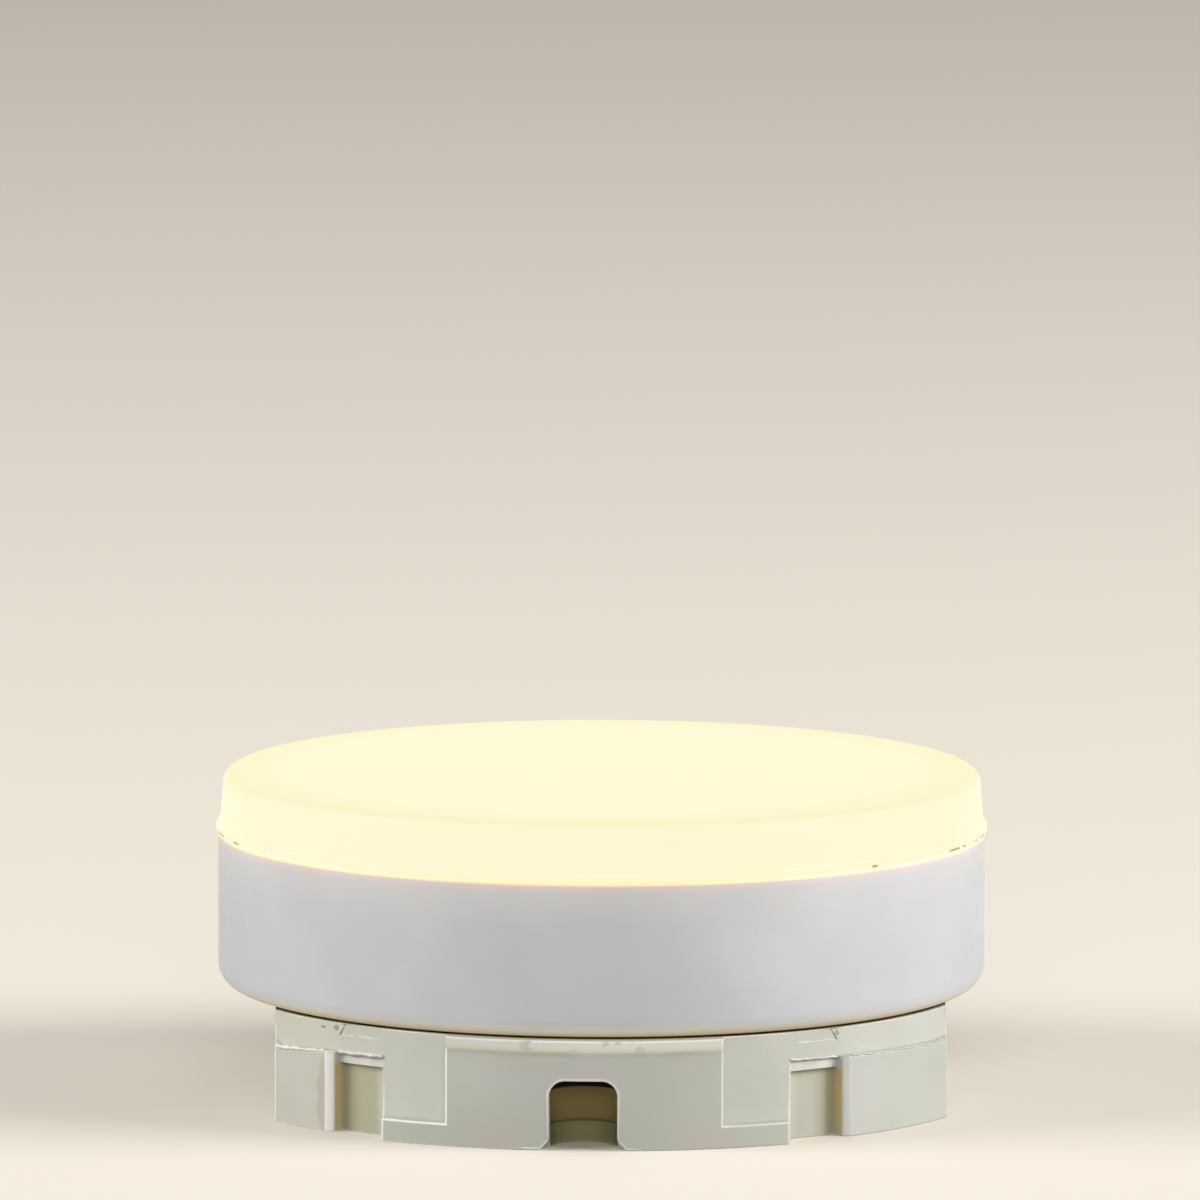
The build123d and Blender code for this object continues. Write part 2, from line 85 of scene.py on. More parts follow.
class Surface(Enum):
    """How the fine relief of a finish runs."""

    MOULDED = (1.0, 1.0, 1.0)
    BRUSHED = (1.0, 0.06, 1.0)
    DRAWN = (1.0, 1.0, 0.08)


class Detail(Enum):
    """How many octaves of finer noise a pattern has."""

    SMOOTH = 1.0
    SOFT = 2.0
    PLAIN = 3.0
    FINE = 4.0
    RAGGED = 5.0


class Graph:
    """The node tree of one material, with short calls for the nodes that the finishes share."""

    def __init__(self, name: str) -> None:
        """Start a material with a surface shader that reads places on the object.

        Args:
            name: The material's name.
        """
        self.material = bpy.data.materials.new(name)
        self.material.use_nodes = True
        self.tree = self.material.node_tree
        self.tree.nodes.clear()
        self.shader = self.add("ShaderNodeBsdfPrincipled")
        self.output = self.add("ShaderNodeOutputMaterial")
        self.feed(self.output.inputs["Surface"], self.shader.outputs["BSDF"])
        self.place = self.add("ShaderNodeTexCoord").outputs["Object"]

    def add(self, kind: str) -> bpy.types.Node:
        """Return a new node of a kind."""
        return self.tree.nodes.new(kind)

    def feed(self, socket: Socket, value: object) -> None:
        """Give a socket a link or a constant.

        Args:
            socket: The input to set.
            value: An output socket, a number, or a colour or vector of three numbers.
        """
        if isinstance(value, Socket):
            self.tree.links.new(value, socket)
        elif isinstance(value, tuple) and socket.type == "RGBA":
            socket.default_value = (*value, 1.0)
        else:
            socket.default_value = value

    def surface(self, **values: object) -> None:
        """Set the shader's inputs by name, with underscores for spaces."""
        for name, value in values.items():
            self.feed(self.shader.inputs[name.replace("_", " ")], value)

    def noise(
        self, scale: float, detail: Detail = Detail.PLAIN, run: Surface = Surface.MOULDED
    ) -> Socket:
        """Add a noise pattern.

        Args:
            scale: Repeats to the metre.
            detail: How much finer noise it has.
            run: The direction that the pattern is drawn out in.

        Returns:
            The noise, near 0.5 and from 0 to 1.
        """
        mapping = self.add("ShaderNodeMapping")
        mapping.inputs["Scale"].default_value = run.value
        self.feed(mapping.inputs["Vector"], self.place)
        pattern = self.add("ShaderNodeTexNoise")
        pattern.inputs["Scale"].default_value = scale
        pattern.inputs["Detail"].default_value = detail.value
        self.feed(pattern.inputs["Vector"], mapping.outputs["Vector"])
        return pattern.outputs["Fac"]

    def remap(self, value: Socket, ends: Point, results: Point = (0.0, 1.0)) -> Socket:
        """Stretch and clamp a value.

        Args:
            value: The value to stretch.
            ends: Two values of it.
            results: What those two become.

        Returns:
            The stretched value.
        """
        node = self.add("ShaderNodeMapRange")
        for name, number in zip(("From Min", "From Max", "To Min", "To Max"), (*ends, *results)):
            node.inputs[name].default_value = number
        self.feed(node.inputs["Value"], value)
        return node.outputs["Result"]

    def rise(self, value: Socket, ends: Point, share: float) -> Socket:
        """Return a share that grows from nothing between two values."""
        return self.remap(value, ends, (0.0, share))

    def fall(self, value: Socket, ends: Point, share: float = 1.0) -> Socket:
        """Return a share that shrinks to nothing between two values."""
        return self.remap(value, ends, (share, 0.0))

    def math(self, operation: str, first: object, second: object = 0.0) -> Socket:
        """Work out a sum.

        Args:
            operation: The kind of sum.
            first: Its first value.
            second: Its second value, where it has one.

        Returns:
            The result.
        """
        node = self.add("ShaderNodeMath")
        node.operation = operation
        self.feed(node.inputs[0], first)
        self.feed(node.inputs[1], second)
        return node.outputs["Value"]

    def times(self, first: Socket, *others: Socket) -> Socket:
        """Multiply values.

        Args:
            first: The first value.
            others: The values that it is multiplied by.

        Returns:
            The product.
        """
        for other in others:
            first = self.math("MULTIPLY", first, other)
        return first

    def blend(self, factor: Socket, first: object, second: object) -> Socket:
        """Mix two colours.

        Args:
            factor: The share of the second colour.
            first: The first colour.
            second: The second colour.

        Returns:
            The colour between them.
        """
        node = self.add("ShaderNodeMix")
        node.data_type = "RGBA"
        self.feed(node.inputs[0], factor)
        self.feed(node.inputs[6], first)
        self.feed(node.inputs[7], second)
        return node.outputs[2]

    def bands(self, value: Socket, tone: object, steps: tuple[Step, ...]) -> Socket:
        """Lay colours over a colour, each from where a value passes its own ends.

        Args:
            value: The value, such as a height.
            tone: The colour below them.
            steps: The colours, each with two values.

        Returns:
            The colour on top.
        """
        for colour, ends in steps:
            tone = self.blend(self.remap(value, ends), tone, colour)
        return tone

    def along(self, axis: str) -> Socket:
        """Measure a place along an axis of the object.

        Args:
            axis: X, Y or Z.

        Returns:
            The place along it.
        """
        node = self.add("ShaderNodeSeparateXYZ")
        self.feed(node.inputs["Vector"], self.place)
        return node.outputs[axis]

    def across(self, turn: float) -> Socket:
        """Measure how far a place is to either side, once turned about the lamp's axis.

        Args:
            turn: The angle to turn it by.

        Returns:
            The distance to either side.
        """
        node = self.add("ShaderNodeVectorRotate")
        node.rotation_type = "Z_AXIS"
        node.inputs["Angle"].default_value = turn
        self.feed(node.inputs["Vector"], self.place)
        split = self.add("ShaderNodeSeparateXYZ")
        self.feed(split.inputs["Vector"], node.outputs["Vector"])
        return self.math("ABSOLUTE", split.outputs["X"])

    def radius(self) -> Socket:
        """Measure how far a place is from the lamp's axis.

        Returns:
            The distance.
        """
        flat = self.add("ShaderNodeCombineXYZ")
        self.feed(flat.inputs["X"], self.along("X"))
        self.feed(flat.inputs["Y"], self.along("Y"))
        length = self.add("ShaderNodeVectorMath")
        length.operation = "LENGTH"
        self.feed(length.inputs[0], flat.outputs["Vector"])
        return length.outputs["Value"]

    def section(self) -> Socket:
        """Put a place into the lamp's section.

        Returns:
            A vector of the radius about the lamp's axis, the height and nothing.
        """
        both = self.add("ShaderNodeCombineXYZ")
        self.feed(both.inputs["X"], self.radius())
        self.feed(both.inputs["Y"], self.along("Z"))
        return both.outputs["Vector"]

    def distance(self, place: Socket, point: Point) -> Socket:
        """Measure how far a place in the lamp's section is from a point.

        Args:
            place: The place.
            point: The point's radius and height.

        Returns:
            The distance.
        """
        node = self.add("ShaderNodeVectorMath")
        node.operation = "DISTANCE"
        self.feed(node.inputs[0], place)
        node.inputs[1].default_value = (*point, 0.0)
        return node.outputs["Value"]

    def shelter(self, reach: float, samples: int = 8) -> Socket:
        """Tell how open a place is.

        Args:
            reach: How far off a wall still shelters it.
            samples: How many ways are tried.

        Returns:
            The openness, from 0 in a tight corner to 1.
        """
        node = self.add("ShaderNodeAmbientOcclusion")
        node.samples = samples
        node.only_local = True
        node.inputs["Distance"].default_value = reach
        return node.outputs["AO"]

    def relief(self, height: Socket, depth: float) -> None:
        """Raise the shader's normal by a pattern.

        Args:
            height: The pattern, from 0 to 1.
            depth: Its height in metres.
        """
        node = self.add("ShaderNodeBump")
        node.inputs["Distance"].default_value = depth
        self.feed(node.inputs["Height"], height)
        self.feed(self.shader.inputs["Normal"], node.outputs["Normal"])


@dataclass(frozen=True)
class Finish:
    """A finish, which each kind lays on the shader in its own way."""

    name: str

    def material(self) -> Material:
        """Make the finish as a material.

        Returns:
            The new material.
        """
        graph = Graph(self.name)
        self.lay(graph)
        return graph.material

    def lay(self, graph: Graph) -> None:
        """Set the shader, which every kind of finish does for itself."""
        raise NotImplementedError


@dataclass(frozen=True)
class Moulding(Finish):
    """A satin moulded plastic with clouded tone, a fine mottle, and grime with painted shade in its
    tight corners.
    """

    pale: Colour
    deep: Colour
    grime_and_shade: Colour
    grime_and_shade_share: float = 0.2
    corner_reach: float = 1.2 * MM
    corner_span: Point = (0.3, 0.85)
    roughness: float = 0.45
    gloss_spread: float = 0.06
    specular: float = 0.4
    cloud_scale: float = 70.0
    mottle_scale: float = 1500.0
    mottle_span: Point = (0.6, 0.8)
    mottle_share: float = 0.35
    grain_scale: float = 2400.0
    grain_depth: float = 0.012 * MM

    def tone(self, graph: Graph) -> Socket:
        """Mix the plastic's colour.

        Args:
            graph: The material that it goes into.

        Returns:
            The colour, with its clouds, mottle, and grime with painted shade in its corners.
        """
        clouds = graph.remap(graph.noise(self.cloud_scale), MIDDLE_SPAN)
        specks = graph.noise(self.mottle_scale, Detail.SMOOTH)
        mottle = graph.rise(specks, self.mottle_span, self.mottle_share)
        plain = graph.blend(mottle, graph.blend(clouds, self.pale, self.deep), self.deep)
        # Darker in tight corners: grime with painted shade.
        corners = graph.fall(graph.shelter(self.corner_reach), self.corner_span, self.grime_and_shade_share)
        return graph.blend(corners, plain, self.grime_and_shade)

    def gloss(self, graph: Graph) -> Socket:
        """Return the plastic's roughness, which the mottle varies."""
        ends = (self.roughness - self.gloss_spread, self.roughness + self.gloss_spread)
        return graph.remap(graph.noise(self.mottle_scale / 2), WIDE_SPAN, ends)

    def lay(self, graph: Graph) -> None:
        """Lay the plastic's colour, sheen and grain.

        Args:
            graph: The material.
        """
        graph.surface(
            Base_Color=self.tone(graph), Roughness=self.gloss(graph), Specular_IOR_Level=self.specular
        )
        graph.relief(graph.noise(self.grain_scale, Detail.FINE), self.grain_depth)


@dataclass(frozen=True)
class DarkPatch:
    """A dark patch: its colour, its place across and up, and half its width and height."""

    colour: Colour
    place: Point
    half: Point


@dataclass(frozen=True)
class HolderMoulding(Moulding):
    """The holder's plastic: painted shade in its entries, notches, pad feet and seat gap, painted
    bounce light on its notch walls, and a painted highlight and scuffs along its brows.
    """

    turn: float = math.radians(HOLDER_TURN)
    front_places: Point = (-2.0 * MM, 2.0 * MM)
    warm: Colour = (0.62, 0.59, 0.44)
    warm_places: Point = (-8.0 * MM, -28.0 * MM)
    warm_share: float = 0.3
    # Painted shade inside the wire entries: darker towards the bottom, a shadow line above the seam,
    # the plate's shaded tone below it and shade under the roof.
    entry_shade: tuple[Colour, Colour] = ((0.235, 0.18, 0.068), (0.46, 0.345, 0.135))
    pocket_fade: Point = (2.1 * MM, 5.2 * MM)
    pocket_reach: float = 9.0 * MM
    pocket_span: Point = (0.35, 0.7)
    pocket_radius: Point = (35.9 * MM, 36.2 * MM)
    pocket_places: Point = (4.5 * MM, 5.0 * MM)
    pocket_levels: Point = (6.9 * MM, 7.1 * MM)
    shade: Colour = (0.008, 0.005, 0.002)
    shade_levels: Point = (5.3 * MM, 5.45 * MM)
    seam_shadow: Colour = (0.10, 0.065, 0.018)
    seam_shadow_levels: Point = (2.07 * MM, 2.45 * MM)
    seam_shadow_share: float = 0.8
    seam: Colour = (0.26, 0.24, 0.112)
    seam_levels: Point = (2.02 * MM, 2.07 * MM)
    seam_share: float = 0.95
    # Painted shade in the notches, painted bounce light on their walls and painted shade on their
    # floors, heavier on the left.
    notch_shade: Colour = (0.50, 0.41, 0.17)
    notch_shade_reach: float = 3.0 * MM
    notch_shade_span: Point = (0.45, 1.0)
    notch_shade_share: float = 0.85
    notch_shade_places: tuple[Point, Point] = ((19.7 * MM, 20.3 * MM), (26.0 * MM, 27.0 * MM))
    notch_shade_levels: Point = (6.4 * MM, 6.6 * MM)
    notch_bounce_light: Colour = (0.72, 0.47, 0.07)
    notch_bounce_radius: Point = (36.2 * MM, 36.3 * MM)
    notch_bounce_span: Point = (0.0, 0.5)
    notch_bounce_share: float = 0.6
    notch_floor_shade: Colour = (0.44, 0.415, 0.27)
    notch_floor_shade_places: Point = (-20.0 * MM, 20.0 * MM)
    notch_floor_shade_shares: Point = (0.9, 0.3)
    # Painted shade: the pads darker towards their feet.
    pad_foot_shade: Colour = (0.50, 0.505, 0.43)
    pad_foot_shade_radius: Point = (37.9 * MM, 38.1 * MM)
    pad_foot_shade_levels: Point = (6.5 * MM, 2.0 * MM)
    pad_foot_shade_shares: Point = (0.3, 0.95)
    brow_radius: Point = (37.3 * MM, 37.5 * MM)
    # A patchy browner band just below the brows.
    under_brow_tone: Colour = (0.42, 0.39, 0.26)
    under_brow_levels: Point = (8.8 * MM, 9.45 * MM)
    under_brow_scale: float = 220.0
    under_brow_shares: Point = (0.35, 0.85)
    brow_levels: Point = (9.45 * MM, 9.6 * MM)
    # Darker, yellower bands down the brows; the last, along the top edge, is a painted highlight.
    brow_tones_and_highlight: tuple[Step, ...] = (
        ((0.49, 0.485, 0.375), brow_levels),
        ((0.52, 0.525, 0.445), (9.65 * MM, 9.9 * MM)),
        ((0.66, 0.66, 0.60), (10.2 * MM, 10.3 * MM)),
    )
    scuff: Colour = (0.34, 0.33, 0.30)
    scuff_places: Point = (5.0 * MM, 7.0 * MM)
    scuff_scale: float = 650.0
    scuff_span: Point = (0.57, 0.63)
    scuff_share: float = 0.7
    # The first three patches are painted shade at the ends of the rim windows; the last darkens an
    # upright strip of the left block.
    dark_patches: tuple[DarkPatch, ...] = (
        DarkPatch((0.30, 0.25, 0.17), (-25.4 * MM, 9.95 * MM), (0.3 * MM, 0.3 * MM)),
        DarkPatch((0.14, 0.11, 0.07), (-26.6 * MM, 9.82 * MM), (0.28 * MM, 0.09 * MM)),
        DarkPatch((0.32, 0.28, 0.18), (22.5 * MM, 9.95 * MM), (0.25 * MM, 0.32 * MM)),
        DarkPatch((0.50, 0.465, 0.36), (-26.7 * MM, 3.5 * MM), (0.6 * MM, 4.2 * MM)),
    )
    dark_patch_scale: float = 700.0
    dark_patch_waver: float = 0.15 * MM
    dark_patch_span: Point = (0.5, 1.0)
    dark_patch_share: float = 0.85
    # Painted shade of the gap under the lamp's foot.
    seat_gap_shade: Colour = (0.07, 0.045, 0.02)
    seat_gap_shade_radius: tuple[Point, Point] = ((33.0 * MM, 33.5 * MM), (35.7 * MM, 36.1 * MM))
    seat_gap_shade_levels: Point = (10.3 * MM, 10.36 * MM)
    seat_gap_shade_scale: float = 300.0
    seat_gap_shade_span: Point = (0.3, 0.6)
    seat_gap_shade_shares: Point = (0.7, 1.0)

    def tone(self, graph: Graph) -> Socket:
        """Mix the plastic's colour, warmer towards the left, with its painted shade and light, its brow
        bands, dark patches and scuffs.

        Args:
            graph: The material that it goes into.

        Returns:
            The colour.
        """
        level = graph.along("Z")
        warmed = graph.rise(graph.along("X"), self.warm_places, self.warm_share)
        tone = graph.blend(warmed, super().tone(graph), self.warm)
        tone = self.shade_notches(graph, tone, level)
        tone = self.mark_brow(graph, tone, level)
        tone = self.mark_seat(graph, tone, level)
        tone = self.mark_dark_patches(graph, tone, level)
        return self.darken_entries(graph, tone, level)

    def gloss(self, graph: Graph) -> Socket:
        """Return the plastic's roughness, which is full inside the wire entries."""
        return graph.math("MAXIMUM", super().gloss(graph), self.pockets(graph))

    def pockets(self, graph: Graph) -> Socket:
        """Tell how far a place is inside a wire entry.

        Args:
            graph: The material.

        Returns:
            The share, from 0 to 1.
        """
        deep = graph.fall(graph.shelter(self.pocket_reach), self.pocket_span)
        behind = graph.fall(graph.radius(), self.pocket_radius)
        middle = graph.fall(graph.across(self.turn), self.pocket_places)
        low = graph.fall(graph.along("Z"), self.pocket_levels)
        return graph.times(graph.math("MAXIMUM", deep, behind), middle, low)

    def at_front(self, graph: Graph) -> Socket:
        """Return 1 on the front half of the holder, which carries its brow marks and dark patches, and
        0 behind.
        """
        return graph.fall(graph.along("Y"), self.front_places)

    def shade_notches(self, graph: Graph, tone: Socket, level: Socket) -> Socket:
        """Paint shade into the notches, with painted bounce light on their walls and painted shade on
        their floors, heavier on the left.

        Args:
            graph: The material.
            tone: The colour so far.
            level: The height of a place.

        Returns:
            The colour with the painted shade and light.
        """
        inner, outer = self.notch_shade_places
        across = graph.across(self.turn)
        low = graph.fall(level, self.notch_shade_levels)
        notches = graph.times(graph.remap(across, inner), graph.fall(across, outer), low)
        open_to_light = graph.shelter(self.notch_shade_reach)
        painted_light = graph.fall(open_to_light, self.notch_shade_span, self.notch_shade_share)
        tone = graph.blend(graph.times(notches, painted_light), tone, self.notch_shade)
        walls = graph.remap(graph.radius(), self.notch_bounce_radius)
        tinge = graph.rise(painted_light, self.notch_bounce_span, self.notch_bounce_share)
        tone = graph.blend(graph.times(notches, walls, tinge), tone, self.notch_bounce_light)
        floors = graph.fall(graph.radius(), self.pocket_radius)
        share = graph.remap(graph.along("X"), self.notch_floor_shade_places, self.notch_floor_shade_shares)
        return graph.blend(graph.times(notches, floors, share), tone, self.notch_floor_shade)

    def mark_brow(self, graph: Graph, tone: Socket, level: Socket) -> Socket:
        """Darken the pads towards their feet as painted shade, band their brows darker and yellower
        under a painted highlight along the top edge, with scuffs at their middle and a browner band
        below them.

        Args:
            graph: The material.
            tone: The colour so far.
            level: The height of a place.

        Returns:
            The marked colour.
        """
        low = graph.remap(level, self.pad_foot_shade_levels, self.pad_foot_shade_shares)
        lower = graph.times(graph.remap(graph.radius(), self.pad_foot_shade_radius), low)
        tone = graph.blend(lower, tone, self.pad_foot_shade)
        faint = graph.remap(graph.noise(self.under_brow_scale), MIDDLE_SPAN, self.under_brow_shares)
        below = graph.times(graph.remap(level, self.under_brow_levels), faint)
        marked = graph.bands(level, graph.blend(below, tone, self.under_brow_tone), self.brow_tones_and_highlight)
        scratches = graph.noise(self.scuff_scale, Detail.FINE)
        scraped = graph.rise(scratches, self.scuff_span, self.scuff_share)
        middle = graph.fall(graph.across(self.turn), self.scuff_places)
        brow = graph.remap(level, self.brow_levels)
        marked = graph.blend(graph.times(brow, scraped, middle), marked, self.scuff)
        on_pad = graph.remap(graph.radius(), self.brow_radius)
        return graph.blend(graph.times(on_pad, self.at_front(graph)), tone, marked)

    def mark_seat(self, graph: Graph, tone: Socket, level: Socket) -> Socket:
        """Darken the top of the drum in a ring under the lamp's foot, painted shade of the gap between
        them.

        Args:
            graph: The material.
            tone: The colour so far.
            level: The height of a place.

        Returns:
            The marked colour.
        """
        inner, outer = self.seat_gap_shade_radius
        radius = graph.radius()
        ring = graph.times(graph.remap(radius, inner), graph.fall(radius, outer))
        patchy = graph.remap(graph.noise(self.seat_gap_shade_scale), self.seat_gap_shade_span, self.seat_gap_shade_shares)
        on_top = graph.remap(level, self.seat_gap_shade_levels)
        return graph.blend(graph.times(ring, patchy, on_top), tone, self.seat_gap_shade)

    def mark_dark_patches(self, graph: Graph, tone: Socket, level: Socket) -> Socket:
        """Darken small patches: painted shade at the ends of the rim windows, and a darker upright
        patch on the left block.

        Args:
            graph: The material.
            tone: The colour so far.
            level: The height of a place.

        Returns:
            The marked colour.
        """
        at_front = self.at_front(graph)
        waver = (-self.dark_patch_waver, self.dark_patch_waver)
        ragged = graph.remap(graph.noise(self.dark_patch_scale, Detail.FINE), WIDE_SPAN, waver)
        across = graph.math("ADD", graph.along("X"), ragged)
        for dark_patch in self.dark_patches:
            squares = []
            for place, middle, half in zip((across, level), dark_patch.place, dark_patch.half):
                aside = graph.math("DIVIDE", graph.math("SUBTRACT", place, middle), half)
                squares.append(graph.times(aside, aside))
            inside = graph.fall(graph.math("ADD", *squares), self.dark_patch_span, self.dark_patch_share)
            tone = graph.blend(graph.times(inside, at_front), tone, dark_patch.colour)
        return tone

    def darken_entries(self, graph: Graph, tone: Socket, level: Socket) -> Socket:
        """Darken the wire entries as painted shade, with a painted shadow line above the plate's seam,
        the plate's shaded tone below it and deep shade under the roof.

        Args:
            graph: The material.
            tone: The colour so far.
            level: The height of a place.

        Returns:
            The darkened colour.
        """
        pockets = self.pockets(graph)
        wall = graph.blend(graph.remap(level, self.pocket_fade), *self.entry_shade)
        wall = graph.blend(graph.fall(level, self.seam_shadow_levels, self.seam_shadow_share), wall, self.seam_shadow)
        tone = graph.blend(pockets, tone, wall)
        seam = graph.fall(level, self.seam_levels, self.seam_share)
        tone = graph.blend(graph.times(pockets, seam), tone, self.seam)
        roof = graph.remap(level, self.shade_levels)
        return graph.blend(graph.times(pockets, roof), tone, self.shade)


@dataclass(frozen=True)
class HighlightMoulding(Moulding):
    """The holder's plastic along its rounded edges and flash, paler as a painted highlight, and on the
    outer skin brighter on the left and duller on the right.
    """

    # Painted highlight on the outer skin: duller on the right, brighter on the left.
    right_highlight: Colour = (0.59, 0.58, 0.525)
    left_highlight: Colour = (0.88, 0.87, 0.79)
    highlight_side_places: Point = (12.0 * MM, -14.0 * MM)
    outer_skin: Point = (36.8 * MM, 37.0 * MM)
    side_highlight_share: float = 0.8

    def tone(self, graph: Graph) -> Socket:
        """Mix the plastic's colour with its painted highlight, brighter on the left and duller on the
        right of the outer skin.

        Args:
            graph: The material that it goes into.

        Returns:
            The colour.
        """
        side = graph.remap(graph.along("X"), self.highlight_side_places)
        painted_light = graph.blend(side, self.right_highlight, self.left_highlight)
        outer = graph.rise(graph.radius(), self.outer_skin, self.side_highlight_share)
        return graph.blend(outer, super().tone(graph), painted_light)


@dataclass(frozen=True)
class HousingMoulding(Moulding):
    """The cup's plastic, with a painted glow under its rim from the lit cap and painted bounce light at
    its foot.
    """

    # Painted bounce light: the lower cup paler and its foot warmer.
    bounce_lift: Colour = (0.70, 0.70, 0.70)
    bounce_lift_levels: Point = (11.2 * MM, 12.6 * MM)
    foot: Colour = (0.52, 0.46, 0.32)
    foot_levels: Point = (10.7 * MM, 11.3 * MM)
    foot_share: float = 0.9
    # Painted glow under the rim from the lit cap, and painted bounce light at the foot, unlit again at
    # the seat.
    glows: tuple[Step, ...] = (
        ((0.05, 0.03, 0.0), (21.5 * MM, 24.4 * MM)),
        ((0.22, 0.05, 0.0), (24.5 * MM, 25.2 * MM)),
        ((0.48, 0.41, 0.04), (25.15 * MM, 25.4 * MM)),
        ((0.19, 0.14, 0.06), (12.1 * MM, 10.85 * MM)),
        (UNLIT, (10.66 * MM, 10.53 * MM)),
    )

    def tone(self, graph: Graph) -> Socket:
        """Mix the plastic's colour, with painted bounce light: paler low on the cup and warmer at the
        foot.

        Args:
            graph: The material that it goes into.

        Returns:
            The colour.
        """
        level = graph.along("Z")
        tone = graph.blend(graph.fall(level, self.bounce_lift_levels), super().tone(graph), self.bounce_lift)
        return graph.blend(graph.fall(level, self.foot_levels, self.foot_share), tone, self.foot)

    def lay(self, graph: Graph) -> None:
        """Lay the plastic, then paint the glow at its rim and the bounce light at its foot.

        Args:
            graph: The material.
        """
        super().lay(graph)
        light = graph.bands(graph.along("Z"), UNLIT, self.glows)
        graph.surface(Emission_Color=light, Emission_Strength=1.0)


@dataclass(frozen=True)
class LitOpal(Finish):
    """Opal plastic lit from within, deeper towards its top edge, with scorched marks on its lip."""

    core: Colour
    edge: Colour
    skin: Colour
    scorch: Colour
    edge_line: Point
    lip_line: Point
    edge_reach: Point = (0.4 * MM, 5.5 * MM)
    edge_shares: Point = (1.0, 0.35)
    edge_depth: float = 0.6 * MM
    cloud_scale: float = 45.0
    cloud_share: float = 0.25
    lip_reach: Point = (0.15 * MM, 0.3 * MM)
    scorch_places: Point = (29.0 * MM, 35.5 * MM)
    scorch_ends: float = 0.16
    scorch_scale: float = 330.0
    scorch_span: Point = (0.67, 0.72)
    roughness: float = 0.4
    specular: float = 0.05
    ripple_scale: float = 1800.0
    ripple_depth: float = 0.004 * MM

    def lay(self, graph: Graph) -> None:
        """Lay the opal's skin and the light that comes through it.

        Args:
            graph: The material.
        """
        place = graph.section()
        top = self.edge_line[1]
        near = graph.remap(graph.distance(place, self.edge_line), self.edge_reach, self.edge_shares)
        on_top = graph.remap(graph.along("Z"), (top - self.edge_depth, top))
        cloud = graph.rise(graph.noise(self.cloud_scale, Detail.SOFT), WIDE_SPAN, self.cloud_share)
        deeper = graph.math("MAXIMUM", graph.times(near, on_top), cloud)
        light = graph.blend(deeper, self.core, self.edge)
        graph.surface(
            Base_Color=self.skin,
            Roughness=self.roughness,
            Specular_IOR_Level=self.specular,
            Emission_Color=graph.blend(self.marks(graph, place), light, self.scorch),
            Emission_Strength=1.0,
        )
        graph.relief(graph.noise(self.ripple_scale), self.ripple_depth)

    def marks(self, graph: Graph, place: Socket) -> Socket:
        """Scorch the lip in broken dashes, closest at its two ends.

        Args:
            graph: The material.
            place: The place in the lamp's section.

        Returns:
            The marks, from 0 to 1.
        """
        on_lip = graph.fall(graph.distance(place, self.lip_line), self.lip_reach)
        across = graph.math("ABSOLUTE", graph.along("X"))
        ends = graph.rise(across, self.scorch_places, self.scorch_ends)
        dashes = graph.math("ADD", graph.noise(self.scorch_scale, Detail.RAGGED), ends)
        return graph.times(on_lip, graph.remap(dashes, self.scorch_span))


@dataclass(frozen=True)
class Metal(Finish):
    """A plated or rolled metal with drawn-out scratches and a patchy tarnish."""

    bright: Colour
    dull: Colour
    run: Surface = Surface.BRUSHED
    roughness: Point = (0.22, 0.42)
    patch_scale: float = 180.0
    patch_span: Point = (0.4, 0.7)
    streak_scale: float = 2200.0
    streak_depth: float = 0.003 * MM

    def lay(self, graph: Graph) -> None:
        """Lay the metal's tarnish and scratches.

        Args:
            graph: The material.
        """
        patches = graph.remap(graph.noise(self.patch_scale), self.patch_span)
        streaks = graph.noise(self.streak_scale, Detail.SOFT, self.run)
        graph.surface(
            Base_Color=graph.blend(patches, self.bright, self.dull),
            Metallic=1.0,
            Roughness=graph.remap(streaks, WIDE_SPAN, self.roughness),
        )
        graph.relief(streaks, self.streak_depth)


@dataclass(frozen=True)
class Coating(Finish):
    """A lacquer, resin or sleeve with a soft sheen and uneven thickness."""

    light: Colour
    dark: Colour
    roughness: float = 0.35
    gloss_spread: float = 0.1
    coat: float = 0.2
    flow_scale: float = 420.0
    flow_depth: float = 0.02 * MM

    def lay(self, graph: Graph) -> None:
        """Lay the coat's colour and flow.

        Args:
            graph: The material.
        """
        flow = graph.noise(self.flow_scale, Detail.FINE)
        ends = (self.roughness - self.gloss_spread, self.roughness + self.gloss_spread)
        graph.surface(
            Base_Color=graph.blend(graph.remap(flow, MIDDLE_SPAN), self.light, self.dark),
            Roughness=graph.remap(flow, WIDE_SPAN, ends),
            Coat_Weight=self.coat,
        )
        graph.relief(flow, self.flow_depth)


